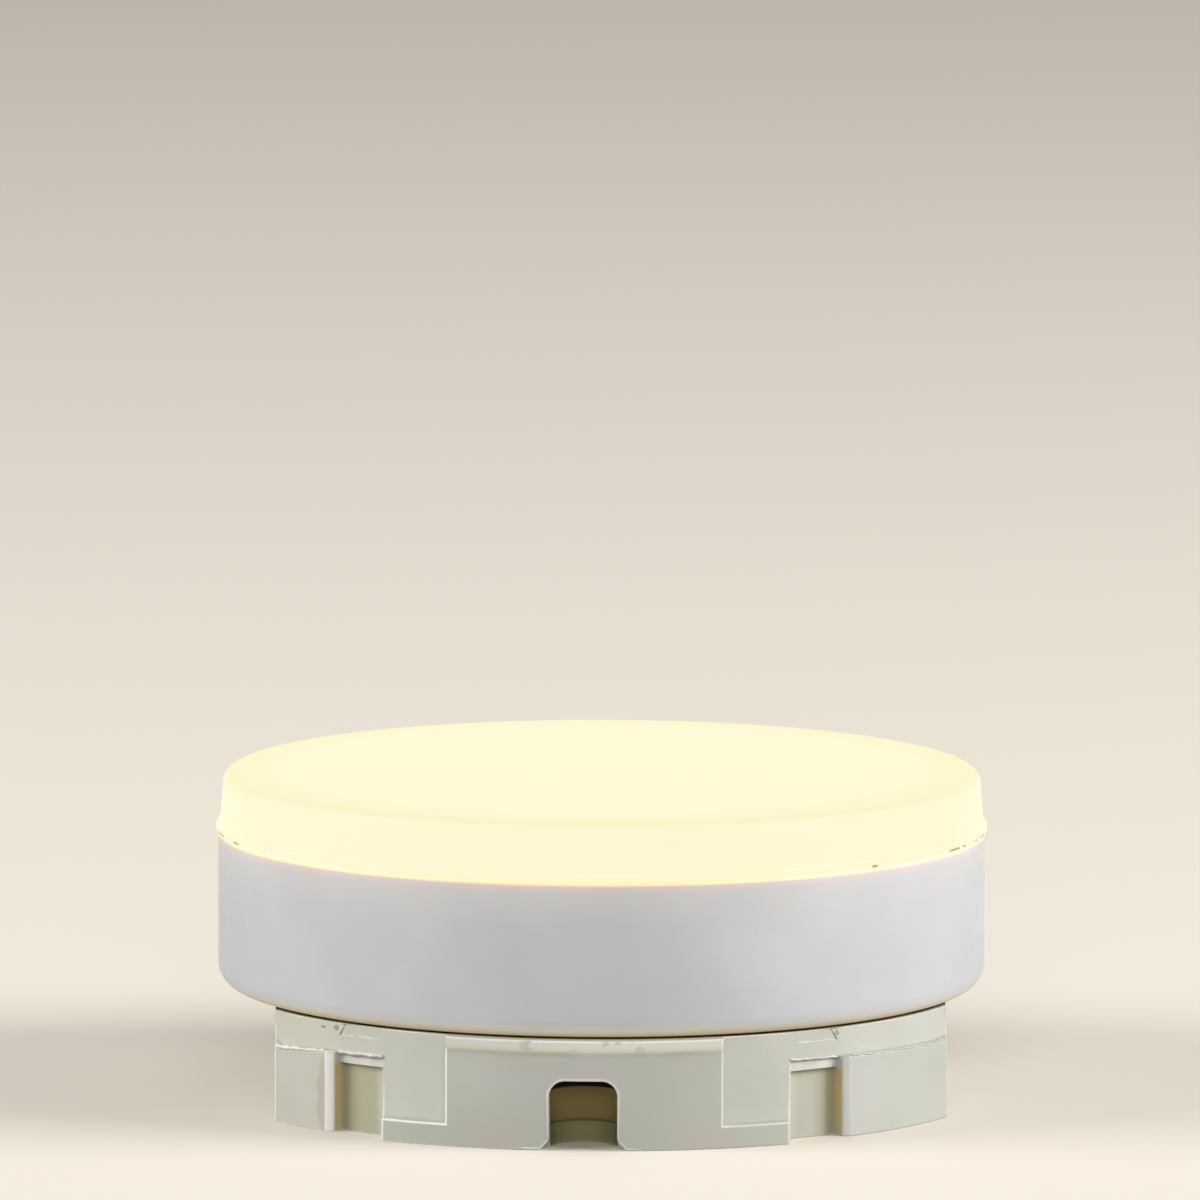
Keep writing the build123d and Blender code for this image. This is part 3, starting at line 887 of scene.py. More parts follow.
FINISHES: dict[str, Finish] = {
    finish.name: finish
    for finish in (
        HousingMoulding(
            "white_housing",
            pale=(0.62, 0.62, 0.63),
            deep=(0.57, 0.57, 0.58),
            grime_and_shade=(0.30, 0.27, 0.22),
            roughness=0.42,
        ),
        LitOpal(
            "opal_diffuser",
            core=(0.975, 0.925, 0.645),
            edge=(0.965, 0.875, 0.56),
            skin=(0.015, 0.015, 0.015),
            scorch=(0.45, 0.30, 0.10),
            edge_line=(36.4 * MM, 31.15 * MM),
            lip_line=(37.5 * MM, 25.65 * MM),
        ),
        HolderMoulding(
            "ivory_moulding",
            pale=(0.575, 0.58, 0.52),
            deep=(0.515, 0.515, 0.45),
            grime_and_shade=(0.36, 0.29, 0.17),
            grime_and_shade_share=0.1,
        ),
        # The plate's colour is painted shade: the ivory plate darkened to its look inside the wire
        # entries.
        Moulding("ivory_plate", (0.26, 0.24, 0.112), (0.23, 0.215, 0.1), (0.17, 0.14, 0.07)),
        Coating("white_board", (0.82, 0.82, 0.80), (0.72, 0.72, 0.70)),
        Coating("yellow_phosphor", (0.85, 0.60, 0.06), (0.75, 0.48, 0.04)),
        Coating("green_board", (0.02, 0.16, 0.05), (0.015, 0.11, 0.04)),
        Coating("dark_sleeve", (0.02, 0.02, 0.025), (0.012, 0.012, 0.016)),
        Coating("ochre_case", (0.45, 0.20, 0.03), (0.34, 0.14, 0.02)),
        Coating("black_case", (0.02, 0.02, 0.02), (0.012, 0.012, 0.012), roughness=0.5),
        Coating("blue_coat", (0.08, 0.18, 0.36), (0.05, 0.12, 0.26)),
        Coating("red_sleeve", (0.38, 0.02, 0.015), (0.28, 0.012, 0.01)),
        Metal("plated_steel", (0.62, 0.62, 0.60), (0.46, 0.46, 0.43)),
        Metal("copper_coil", (0.52, 0.22, 0.09), (0.36, 0.13, 0.05), Surface.DRAWN),
        Metal("nickel_pin", (0.62, 0.56, 0.45), (0.45, 0.38, 0.27), Surface.DRAWN),
        Metal("sprung_bronze", (0.55, 0.33, 0.15), (0.40, 0.22, 0.10)),
        Metal("brass_block", (0.66, 0.46, 0.16), (0.50, 0.33, 0.11), Surface.DRAWN),
    )
}
# A paler finish that stands in for highlights along the holder's rounded edges, flash, slants and
# strips.
IVORY_HIGHLIGHT = HighlightMoulding(
    "ivory_highlight",
    pale=(0.74, 0.73, 0.66),
    deep=(0.60, 0.59, 0.51),
    grime_and_shade=(0.45, 0.38, 0.26),
    cloud_scale=260.0,
)


def mesh_object(name: str, bm: BMesh, *materials: Material) -> Piece:
    """Turn a bmesh into an object of the scene.

    Args:
        name: The object's name.
        bm: The finished bmesh, which is freed.
        materials: The materials of its slots.

    Returns:
        The new object, at the origin.
    """
    mesh = bpy.data.meshes.new(name)
    bm.to_mesh(mesh)
    bm.free()
    stale = mesh.attributes.get("custom_normal")
    if stale:
        mesh.attributes.remove(stale)
    for material in materials:
        mesh.materials.append(material)
    piece = bpy.data.objects.new(name, mesh)
    bpy.context.scene.collection.objects.link(piece)
    return piece


def crease(bm: BMesh, angle: float) -> None:
    """Shade a bmesh smooth, apart from its sharper edges.

    Args:
        bm: The bmesh.
        angle: The angle from which an edge is sharp.
    """
    for face in bm.faces:
        face.smooth = True
    for edge in bm.edges:
        edge.smooth = not edge.is_manifold or edge.calc_face_angle() < angle


def outward(place: Vector) -> Vector:
    """Return the level direction from the lamp's axis to a point."""
    return Vector((place.x, place.y, 0.0)).normalized()


def settle(piece: Piece, body: Body, slot: str, *nodes: str) -> Piece:
    """Join a finished piece to the frame and report it.

    Args:
        piece: The piece.
        body: The body that it rides on.
        slot: The record's material slot, not used.
        nodes: The frame's nodes that it stands for.

    Returns:
        The same piece.
    """
    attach(piece, body.value)
    if nodes:
        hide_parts(*nodes)
    LOG.info("%s: %d faces, rides on %s", piece.name, len(piece.data.polygons), body.value)
    return piece


@dataclass
class Turning:
    """A closed outline of radius and height, rounded at its corners and turned about the axis."""

    outline: list[Point]
    rounds: dict[int, float]
    steps: int = 192
    arc_segments: int = 8
    crease_angle: float = math.radians(28)

    def build(self) -> BMesh:
        """Turn the outline.

        Returns:
            The turned shell, with its normals outwards.
        """
        bm = bmesh.new()
        verts = [bm.verts.new((radius, 0.0, height)) for radius, height in self.outline]
        for first, second in zip(verts, verts[1:]):
            bm.edges.new((first, second))
        if verts[0].co.x > 0.0:
            bm.edges.new((verts[-1], verts[0]))
        for index, radius in self.rounds.items():
            bmesh.ops.bevel(
                bm, geom=[verts[index]], affect="VERTICES", offset=radius, offset_type="OFFSET",
                segments=self.arc_segments, profile=0.5, clamp_overlap=True, material=-1,
            )
        bmesh.ops.spin(
            bm, geom=bm.verts[:] + bm.edges[:], cent=(0, 0, 0), axis=(0, 0, 1), angle=math.tau,
            steps=self.steps, use_merge=True,
        )
        bmesh.ops.remove_doubles(bm, verts=bm.verts, dist=MERGE_DISTANCE)
        bmesh.ops.recalc_face_normals(bm, faces=bm.faces)
        crease(bm, self.crease_angle)
        return bm


@dataclass
class LampHousing:
    """The white cup of the lamp, with its boss below and screw pillars inside."""

    seat_gap: float = 0.1 * MM
    wall: float = 1.8 * MM
    floor: float = 2.0 * MM
    foot_round: float = 2.0 * MM
    inner_round: float = 1.0 * MM
    boss_radius: float = 20.0 * MM
    boss_wall: float = 1.6 * MM
    boss_round: float = 0.6 * MM
    rim_round: float = 0.2 * MM
    pillar_radius: float = 2.6 * MM
    pillar_circle: float = 29.0 * MM
    pillar_count: int = 3
    pillar_start: float = 0.25
    pillar_segments: int = 32

    def build(self) -> Piece:
        """Build the cup in place of its node.

        Returns:
            The cup.
        """
        low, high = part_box("lamp_housing")
        radius = high.x
        inner = radius - self.wall
        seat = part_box("holder_body")[1].z + self.seat_gap
        floor = seat + self.floor
        boss_inner = self.boss_radius - self.boss_wall
        outline = [
            (0.0, low.z),
            (self.boss_radius, low.z),
            (self.boss_radius, seat),
            (radius, seat),
            (radius, high.z),
            (inner, high.z),
            (inner, floor),
            (boss_inner, floor),
            (boss_inner, low.z + self.boss_wall),
            (0.0, low.z + self.boss_wall),
        ]
        rounds = {1: self.boss_round, 3: self.foot_round, 4: self.rim_round, 6: self.inner_round}
        bm = Turning(outline, rounds).build()
        self.add_pillars(bm, floor)
        piece = mesh_object("housing_cup", bm, FINISHES["white_housing"].material())
        return settle(piece, Body.LAMP, "white_housing", "lamp_housing")

    def add_pillars(self, bm: BMesh, floor: float) -> None:
        """Stand the pillars of the lighting board on the inside floor.

        Args:
            bm: The cup.
            floor: The height of its inside floor.
        """
        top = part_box("led_board")[0].z
        for turn in range(self.pillar_count):
            angle = math.tau * (turn / self.pillar_count + self.pillar_start)
            x = self.pillar_circle * math.cos(angle)
            y = self.pillar_circle * math.sin(angle)
            bmesh.ops.create_cone(
                bm, cap_ends=True, segments=self.pillar_segments, radius1=self.pillar_radius,
                radius2=self.pillar_radius, depth=top - floor,
                matrix=Matrix.Translation((x, y, (floor + top) / 2)),
            )


@dataclass
class Diffuser:
    """The opal cap that snaps into the cup, with a thin lip round its foot."""

    lip_height: float = 0.6 * MM
    lip_step: float = 0.35 * MM
    lip_round: float = 0.15 * MM
    draft: float = 0.4 * MM
    wall: float = 1.3 * MM
    edge_round: float = 1.0 * MM
    skirt_gap: float = 2.1 * MM
    skirt_wall: float = 1.2 * MM
    bead_height: float = 1.0 * MM
    bead_proud: float = 0.35 * MM

    def build(self) -> Piece:
        """Build the cap in place of its node.

        Returns:
            The cap.
        """
        low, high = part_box("diffuser")
        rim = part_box("lamp_housing")[1].z
        lip = high.x
        foot = lip - self.lip_step
        shoulder = foot - self.draft
        skirt = lip - self.skirt_gap
        bead = (low.z + rim) / 2
        outline = [
            (0.0, high.z),
            (shoulder, high.z),
            (foot, rim + self.lip_height),
            (lip, rim + self.lip_height),
            (lip, rim),
            (skirt, rim),
            (skirt, bead + self.bead_height / 2),
            (skirt + self.bead_proud, bead),
            (skirt, bead - self.bead_height / 2),
            (skirt, low.z),
            (skirt - self.skirt_wall, low.z),
            (skirt - self.skirt_wall, rim),
            (foot - self.wall, rim + self.lip_height),
            (shoulder - self.wall, high.z - self.wall),
            (0.0, high.z - self.wall),
        ]
        rounds = {1: self.edge_round, 3: self.lip_round, 4: self.lip_round}
        bm = Turning(outline, rounds).build()
        piece = mesh_object("diffuser_cap", bm, FINISHES["opal_diffuser"].material())
        return settle(piece, Body.LAMP, "opal_diffuser", "diffuser")


@dataclass
class HolderBody:
    """The ivory moulding that the lamp locks into, with soft edges as it left the mould, in a paler
    finish that is a painted highlight.
    """

    turn: float = math.radians(HOLDER_TURN)
    flat_angle: float = math.radians(0.2)
    edge_round: float = 0.3 * MM
    edge_segments: int = 2
    plain_share: float = 0.67
    fine_share: float = 0.27
    crease_angle: float = math.radians(25)
    round_angle: float = math.radians(4)
    fold_area: float = 0.04 * MM * MM
    outer_skin: float = 35.6 * MM
    pad_radius: float = 38.4 * MM
    pad_edge: float = 0.9 * MM
    strip_foot: float = 6.5 * MM
    strip_top: float = 7.75 * MM
    strip_skin: float = 36.7 * MM
    strip_facing: float = 0.4
    window_foot: float = 9.2 * MM
    window_skin: float = 36.2 * MM
    window_floor: float = 36.38 * MM
    window_ease: float = 0.09 * MM
    window_middle: float = 22.0 * MM
    window_facing: float = 0.7
    window_slope: float = 0.8
    slant_skin: float = 36.5 * MM
    slant_facing: Point = (0.4, 0.9)
    slant_slope: float = 0.1
    notch_places: Point = (19.6 * MM, 25.2 * MM)
    block_skin: float = 36.45 * MM
    block_top: float = 7.8 * MM
    block_drops: Point = (0.45 * MM, 0.25 * MM)
    block_runs: tuple[Point, Point] = ((-43.0, -53.5), (43.0, 64.3))
    block_ends: Point = (-0.1, 1.1)
    entry_place: float = 5.2 * MM
    entry_top: float = 7.0 * MM
    slack: float = 0.05 * MM

    def build(self) -> Piece:
        """Build the moulding in place of its node.

        Returns:
            The moulding.
        """
        bm = bmesh.new()
        bm.from_mesh(frame["nodes"]["holder_body"].data)
        bmesh.ops.remove_doubles(bm, verts=bm.verts, dist=MERGE_DISTANCE)
        bmesh.ops.dissolve_limit(
            bm, angle_limit=self.flat_angle, use_dissolve_boundaries=False, verts=bm.verts,
            edges=bm.edges, delimit=set(),
        )
        self.slope_blocks(bm)
        self.ease_windows(bm)
        self.weigh_edges(bm)
        for face in bm.faces:
            face.material_index = 0
        skin = FINISHES["ivory_moulding"].material()
        piece = mesh_object("holder_moulding", bm, skin, IVORY_HIGHLIGHT.material())
        self.soften(piece)
        self.unfold(piece.data)
        self.shade(piece.data)
        self.place_highlights(piece.data)
        return settle(piece, Body.HOLDER, "ivory_moulding", "holder_body")

    def soften(self, piece: Piece) -> None:
        """Round the weighed edges, in the second material slot, which holds the painted highlight.

        Args:
            piece: The moulding.
        """
        soft = piece.modifiers.new("soft_edges", "BEVEL")
        soft.limit_method = "WEIGHT"
        soft.offset_type = "OFFSET"
        soft.width = self.edge_round
        soft.segments = self.edge_segments
        soft.profile = 0.5
        soft.use_clamp_overlap = False
        soft.material = 1
        rounded = piece.evaluated_get(bpy.context.evaluated_depsgraph_get())
        piece.data = bpy.data.meshes.new_from_object(rounded)
        piece.modifiers.clear()

    def slope_blocks(self, bm: BMesh) -> None:
        """Let the tops of the two front blocks fall towards their outer ends.

        Args:
            bm: The moulding.
        """
        before, past = self.block_ends
        for vert in bm.verts:
            if abs(vert.co.z - self.block_top) > self.slack or vert.co.xy.length < self.block_skin:
                continue
            angle = math.degrees(math.atan2(vert.co.x, -vert.co.y) + self.turn)
            for drop, (start, end) in zip(self.block_drops, self.block_runs):
                share = (angle - start) / (end - start)
                if vert.co.y < 0.0 and before < share < past:
                    vert.co.z -= drop * min(max(share, 0.0), 1.0)

    def ease_windows(self, bm: BMesh) -> None:
        """Let the rim windows run out towards their outer ends.

        Args:
            bm: The moulding.
        """
        start, end = self.notch_places
        for vert in bm.verts:
            radius = vert.co.xy.length
            if vert.co.z < self.window_foot or not self.window_skin < radius < self.window_floor:
                continue
            share = (self.across(vert.co) - start) / (end - start)
            stretch = 1.0 + self.window_ease * min(max(share, 0.0), 1.0) / radius
            vert.co.x *= stretch
            vert.co.y *= stretch

    def unfold(self, mesh: bpy.types.Mesh) -> None:
        """Close the folds that the rounding leaves in a few faces.

        Args:
            mesh: The moulding.
        """
        bm = bmesh.new()
        bm.from_mesh(mesh)
        stubs: list[BMEdge] = []
        for corners in bm.calc_loop_triangles():
            first, second, third = (loop.vert.co for loop in corners)
            face = corners[0].face
            if (second - first).cross(third - first).dot(face.normal) >= -self.fold_area:
                continue
            stub = min(face.edges, key=BMEdge.calc_length)
            if stub not in stubs:
                stubs.append(stub)
        bmesh.ops.collapse(bm, edges=stubs)
        bm.to_mesh(mesh)
        bm.free()

    def across(self, place: Vector) -> float:
        """Return how far a point is to either side of the middle of the pads."""
        return abs(place.x * math.cos(self.turn) - place.y * math.sin(self.turn))

    def at_entry(self, place: Vector) -> bool:
        """Tell whether a point of the pads is beside a wire entry."""
        return self.across(place) < self.entry_place and self.slack < place.z < self.entry_top

    def weigh_edges(self, bm: BMesh) -> None:
        """Mark how far each outer edge of the moulding is rounded.

        Args:
            bm: The moulding.
        """
        low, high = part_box("holder_body")
        weights = bm.edges.layers.float.new("bevel_weight_edge")
        for edge in bm.edges:
            if edge.calc_face_angle() < self.crease_angle or not edge.is_convex:
                continue
            middle = (edge.verts[0].co + edge.verts[1].co) / 2
            radius = math.hypot(middle.x, middle.y)
            on_flat = min(abs(middle.x - low.x), abs(middle.x - high.x)) < self.slack
            if radius < self.outer_skin and not on_flat:
                continue
            if self.window_foot < middle.z < high.z - self.slack and radius < self.strip_skin:
                continue
            on_strip = self.strip_foot < middle.z < self.strip_top and radius < self.strip_skin
            on_rim = middle.z > high.z - self.slack
            edge[weights] = 1.0 if self.at_entry(middle) else self.plain_share
            if on_strip or on_rim or middle.z < self.slack:
                edge[weights] = self.fine_share

    def shade(self, mesh: bpy.types.Mesh) -> None:
        """Give the moulding the normals of its true surfaces, turned over the rounded edges.

        Args:
            mesh: The moulding, with its rounded edges in the second material slot.
        """
        around: dict[int, list[Vector]] = {}
        rounded: dict[int, Vector] = {}
        for polygon in mesh.polygons:
            polygon.use_smooth = True
            for index in polygon.vertices:
                if polygon.material_index == 0:
                    around.setdefault(index, []).append(polygon.normal.copy())
                else:
                    rounded[index] = rounded.get(index, Vector()) + polygon.normal
        normals = [Vector()] * len(mesh.loops)
        limit = math.cos(self.crease_angle)
        for polygon in mesh.polygons:
            whole = self.face_normal(polygon)
            for loop in polygon.loop_indices:
                index = mesh.loops[loop].vertex_index
                if whole is not None:
                    normals[loop] = whole
                elif index in around:
                    near = around[index]
                    if polygon.material_index == 0:
                        near = [normal for normal in near if normal.dot(polygon.normal) > limit]
                    mean = sum(near, Vector()).normalized()
                    normals[loop] = self.true_normal(mesh.vertices[index].co, mean)
                else:
                    normals[loop] = rounded[index].normalized()
        mesh.normals_split_custom_set(normals)

    def face_normal(self, polygon: Polygon) -> Vector | None:
        """Find the one normal of a face that is shaded as a whole.

        Args:
            polygon: A face of the moulding.

        Returns:
            The normal, or None where the face is shaded corner by corner.
        """
        way = outward(polygon.center)
        entry_edge = polygon.material_index == 1 and self.at_entry(polygon.center)
        if entry_edge or self.at_window_end(polygon):
            return way
        if self.on_slant(polygon):
            return (way + polygon.normal).normalized()
        return None

    def facing(self, polygon: Polygon) -> float:
        """Return how far a face looks away from the lamp's axis, from -1 to 1."""
        return outward(polygon.center).dot(polygon.normal)

    def on_slant(self, polygon: Polygon) -> bool:
        """Tell whether a face is an upright slant beside a notch.

        Args:
            polygon: A face of the moulding.

        Returns:
            Whether it is one.
        """
        low, high = self.slant_facing
        upright = abs(polygon.normal.z) < self.slant_slope
        aslant = low < self.facing(polygon) < high
        return upright and aslant and polygon.center.xy.length > self.slant_skin

    def at_window_end(self, polygon: Polygon) -> bool:
        """Tell whether a face is a thin end of a rim window.

        Args:
            polygon: A face of the moulding.

        Returns:
            Whether it is one.
        """
        upright = abs(polygon.normal.z) < self.window_slope
        sideways = abs(self.facing(polygon)) < self.window_facing
        in_rim = self.window_skin < polygon.center.xy.length < self.slant_skin
        return upright and sideways and in_rim and polygon.center.z > self.window_foot

    def place_highlights(self, mesh: bpy.types.Mesh) -> None:
        """Keep the pads' brows in the moulding's own finish, and give the painted highlight to the
        slants, the notch strips and the inner ends of the rim windows.

        Args:
            mesh: The moulding.
        """
        inner, outer = self.notch_places
        for polygon in mesh.polygons:
            level = polygon.center.z
            radius = polygon.center.xy.length
            across = self.across(polygon.center)
            on_strip = radius < self.strip_skin and self.strip_foot < level and inner < across < outer
            if radius > self.pad_radius - self.pad_edge and level > self.window_foot:
                polygon.material_index = 0
            elif self.at_window_end(polygon):
                polygon.material_index = int(across < self.window_middle)
            elif self.on_slant(polygon):
                polygon.material_index = 1
            elif on_strip and self.facing(polygon) > self.strip_facing:
                polygon.material_index = int(level < self.strip_top)

    def true_normal(self, place: Vector, normal: Vector) -> Vector:
        """Turn a normal to the drum's own where it is nearly the same.

        Args:
            place: A point of the surface.
            normal: The facets' normal there.

        Returns:
            The normal of the round wall, or the normal as it was.
        """
        around = outward(place)
        level = Vector((normal.x, normal.y, 0.0))
        way = around.dot(level)
        if abs(way) < level.length * math.cos(self.round_angle):
            return normal
        return Vector((around.x * way, around.y * way, normal.z)).normalized()


@dataclass(frozen=True)
class FlashLine:
    """A ragged line of flash: its radius, its levels and angles at both ends, and its size."""

    radius: float
    levels: Point
    run: Point
    height: float
    proud: float


@dataclass
class MouldFlash:
    """Ragged flash along the front notches, blocks and rim windows, where parts of the mould met."""

    front_turn: float = -HOLDER_TURN
    lines: tuple[FlashLine, ...] = (
        FlashLine(36.52 * MM, (7.64 * MM, 7.72 * MM), (-40.8, -32.2), 0.42 * MM, 0.22 * MM),
        FlashLine(37.62 * MM, (7.30 * MM, 7.77 * MM), (-53.5, -42.2), 0.32 * MM, 0.16 * MM),
        FlashLine(36.33 * MM, (9.27 * MM, 9.27 * MM), (-40.4, -32.6), 0.24 * MM, 0.14 * MM),
        FlashLine(36.52 * MM, (7.72 * MM, 7.66 * MM), (32.2, 40.8), 0.22 * MM, 0.14 * MM),
        FlashLine(37.62 * MM, (7.77 * MM, 7.52 * MM), (42.2, 64.3), 0.18 * MM, 0.10 * MM),
        FlashLine(36.33 * MM, (9.25 * MM, 9.29 * MM), (32.6, 40.4), 0.18 * MM, 0.12 * MM),
    )
    crest: tuple[Point, ...] = ((0.6, -0.7), (1.0, 0.1), (0.4, 0.8))
    root: float = 0.1 * MM
    pitch: float = 0.15
    waver: float = 0.09 * MM
    drift_scales: Point = (0.9, 2.6)
    fine_share: float = 0.6
    swell_scale: float = 1.7
    swell_share: float = 0.6
    swell_start: tuple[float, float, float] = (9.0, 0.0, 0.0)
    crease_angle: float = math.radians(60)

    def build(self) -> Piece:
        """Build the lines as one piece.

        Returns:
            The piece.
        """
        bm = bmesh.new()
        for line in self.lines:
            self.add_line(bm, line)
        bmesh.ops.holes_fill(bm, edges=[edge for edge in bm.edges if edge.is_boundary], sides=0)
        bmesh.ops.recalc_face_normals(bm, faces=bm.faces)
        crease(bm, self.crease_angle)
        # The flash takes the paler finish, a painted highlight.
        piece = mesh_object("mould_flash", bm, IVORY_HIGHLIGHT.material())
        return settle(piece, Body.HOLDER, "ivory_moulding")

    def add_line(self, bm: BMesh, line: FlashLine) -> None:
        """Spin one line's section along the drum, then make it ragged.

        Args:
            bm: The piece.
            line: The line.
        """
        half = line.height / 2
        level = line.levels[0]
        crest = [(line.radius + line.proud * out, level + half * up) for out, up in self.crest]
        inner = line.radius - self.root
        section = [(inner, level - half), *crest, (inner, level + half)]
        first = len(bm.verts)
        begin = Matrix.Rotation(math.radians(line.run[0] + self.front_turn - 90), 4, "Z")
        verts = [bm.verts.new(begin @ Vector((radius, 0.0, height))) for radius, height in section]
        edges = [bm.edges.new((verts[i - 1], verts[i])) for i in range(len(verts))]
        turn = line.run[1] - line.run[0]
        bmesh.ops.spin(
            bm, geom=verts + edges, cent=(0, 0, 0), axis=(0, 0, 1), angle=math.radians(turn),
            steps=round(turn / self.pitch), use_merge=False,
        )
        bm.verts.ensure_lookup_table()
        for vert in bm.verts[first:]:
            self.roughen(vert, line)

    def roughen(self, vert: BMVert, line: FlashLine) -> None:
        """Move a point of a line to make it ragged.

        Args:
            vert: The point.
            line: The line that it is on.
        """
        angle = math.degrees(math.atan2(vert.co.y, vert.co.x)) + 90 - self.front_turn
        share = (angle - line.run[0]) / (line.run[1] - line.run[0])
        middle = line.levels[0] + share * (line.levels[1] - line.levels[0])
        seed = Vector((vert.co.x, vert.co.y, line.levels[0])) / MM
        coarse, fine = (noise.noise(seed * scale) for scale in self.drift_scales)
        drift = coarse + self.fine_share * fine
        swell = 1.0 + self.swell_share * noise.noise(seed * self.swell_scale + Vector(self.swell_start))
        radius = math.hypot(vert.co.x, vert.co.y)
        stretch = (line.radius + (radius - line.radius) * swell) / radius
        vert.co.x *= stretch
        vert.co.y *= stretch
        vert.co.z = middle + (vert.co.z - line.levels[0]) * swell + self.waver * drift


@dataclass
class BaseScrews:
    """The four countersunk screws of the base plate, with cross recesses in their heads."""

    head_radius: float = 1.85 * MM
    shank_radius: float = 0.8 * MM
    sink: float = 0.8 * MM
    circle: float = 30.0 * MM
    angles: tuple[float, ...] = (50.0, 130.0, 230.0, 310.0)
    cells: int = 9
    arm: float = 0.62
    recess: float = 0.5 * MM
    taper: float = 0.7
    crease_angle: float = math.radians(30)

    def build(self) -> Piece:
        """Build the screws in place of their node.

        Returns:
            The screws.
        """
        bm = bmesh.new()
        grid = bmesh.ops.create_grid(bm, x_segments=self.cells, y_segments=self.cells, size=1.0)
        rim = [edge for edge in bm.edges if edge.is_boundary]
        cross = [face for face in bm.faces if self.in_cross(face.calc_center_median())]
        for vert in grid["verts"]:
            x, y = vert.co.x, vert.co.y
            vert.co.x = self.head_radius * x * math.sqrt(1 - y * y / 2)
            vert.co.y = self.head_radius * y * math.sqrt(1 - x * x / 2)
        self.sink_cross(bm, cross)
        for level in (self.sink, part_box("base_screws")[1].z):
            rim = self.extend(bm, rim, self.shank_radius, level)
        bmesh.ops.holes_fill(bm, edges=rim, sides=0)
        whole = bm.verts[:] + bm.edges[:] + bm.faces[:]
        shift = Matrix.Translation((self.circle, 0.0, 0.0))
        for angle in self.angles:
            copy = bmesh.ops.duplicate(bm, geom=whole)["geom"]
            verts = [item for item in copy if isinstance(item, BMVert)]
            turn = Matrix.Rotation(math.radians(angle), 4, "Z")
            bmesh.ops.transform(bm, matrix=turn @ shift, verts=verts)
        bmesh.ops.delete(bm, geom=whole, context="VERTS")
        bmesh.ops.recalc_face_normals(bm, faces=bm.faces)
        crease(bm, self.crease_angle)
        piece = mesh_object("plate_screws", bm, FINISHES["plated_steel"].material())
        return settle(piece, Body.HOLDER, "plated_steel", "base_screws")

    def in_cross(self, place: Vector) -> bool:
        """Tell whether a cell of the unit head is part of the cross."""
        near, far = sorted((abs(place.x), abs(place.y)))
        return near < 1 / self.cells and far < self.arm

    def sink_cross(self, bm: BMesh, cross: list[BMFace]) -> None:
        """Press the cross into the head.

        Args:
            bm: The head.
            cross: The faces of the cross.
        """
        pressed = bmesh.ops.extrude_face_region(bm, geom=cross)["geom"]
        verts = [item for item in pressed if isinstance(item, BMVert)]
        bmesh.ops.delete(bm, geom=cross, context="FACES")
        bmesh.ops.scale(bm, vec=(self.taper, self.taper, 1.0), verts=verts)
        bmesh.ops.translate(bm, vec=(0.0, 0.0, self.recess), verts=verts)

    def extend(self, bm: BMesh, rim: list[BMEdge], radius: float, level: float) -> list[BMEdge]:
        """Extrude the screw's open rim to a radius and a level.

        Args:
            bm: The screw.
            rim: The edges of its open rim.
            radius: The new rim's radius.
            level: The new rim's height.

        Returns:
            The edges of the new rim.
        """
        grown = bmesh.ops.extrude_edge_only(bm, edges=rim)["geom"]
        for item in grown:
            if isinstance(item, BMVert):
                item.co = item.co.xy.normalized().to_3d() * radius
                item.co.z = level
        return [item for item in grown if isinstance(item, BMEdge) and item.is_boundary]


@dataclass
class PhotoCamera:
    """The camera at the photograph's place, found from the rims of the lamp."""

    place: tuple[float, float, float] = (-0.21 * MM, -1500.0 * MM, 240.35 * MM)
    pitch: float = math.radians(7.31)
    roll: float = math.radians(0.12)
    lens: float = 466.95
    sensor: float = 36.0
    far: float = 100.0

    def build(self) -> None:
        """Make the scene's camera."""
        data = bpy.data.cameras.new("photo_camera")
        data.lens = self.lens
        data.sensor_width = self.sensor
        data.clip_end = self.far
        camera = bpy.data.objects.new("photo_camera", data)
        turn = Matrix.Rotation(math.pi / 2 - self.pitch, 4, "X") @ Matrix.Rotation(self.roll, 4, "Z")
        camera.matrix_world = Matrix.Translation(self.place) @ turn
        bpy.context.scene.collection.objects.link(camera)
        bpy.context.scene.camera = camera


@dataclass
class SoftBox:
    """A square lamp that faces the object."""

    name: str
    place: tuple[float, float, float]
    side: float
    power: float
    colour: Colour = (1.0, 1.0, 1.0)

    def build(self, target: Vector) -> None:
        """Hang the lamp.

        Args:
            target: The point that it faces.
        """
        data = bpy.data.lights.new(self.name, "AREA")
        data.shape = "SQUARE"
        data.size = self.side
        data.energy = self.power
        data.color = self.colour
        lamp = bpy.data.objects.new(self.name, data)
        lamp.location = self.place
        lamp.rotation_euler = (target - Vector(self.place)).to_track_quat("-Z", "Y").to_euler()
        bpy.context.scene.collection.objects.link(lamp)


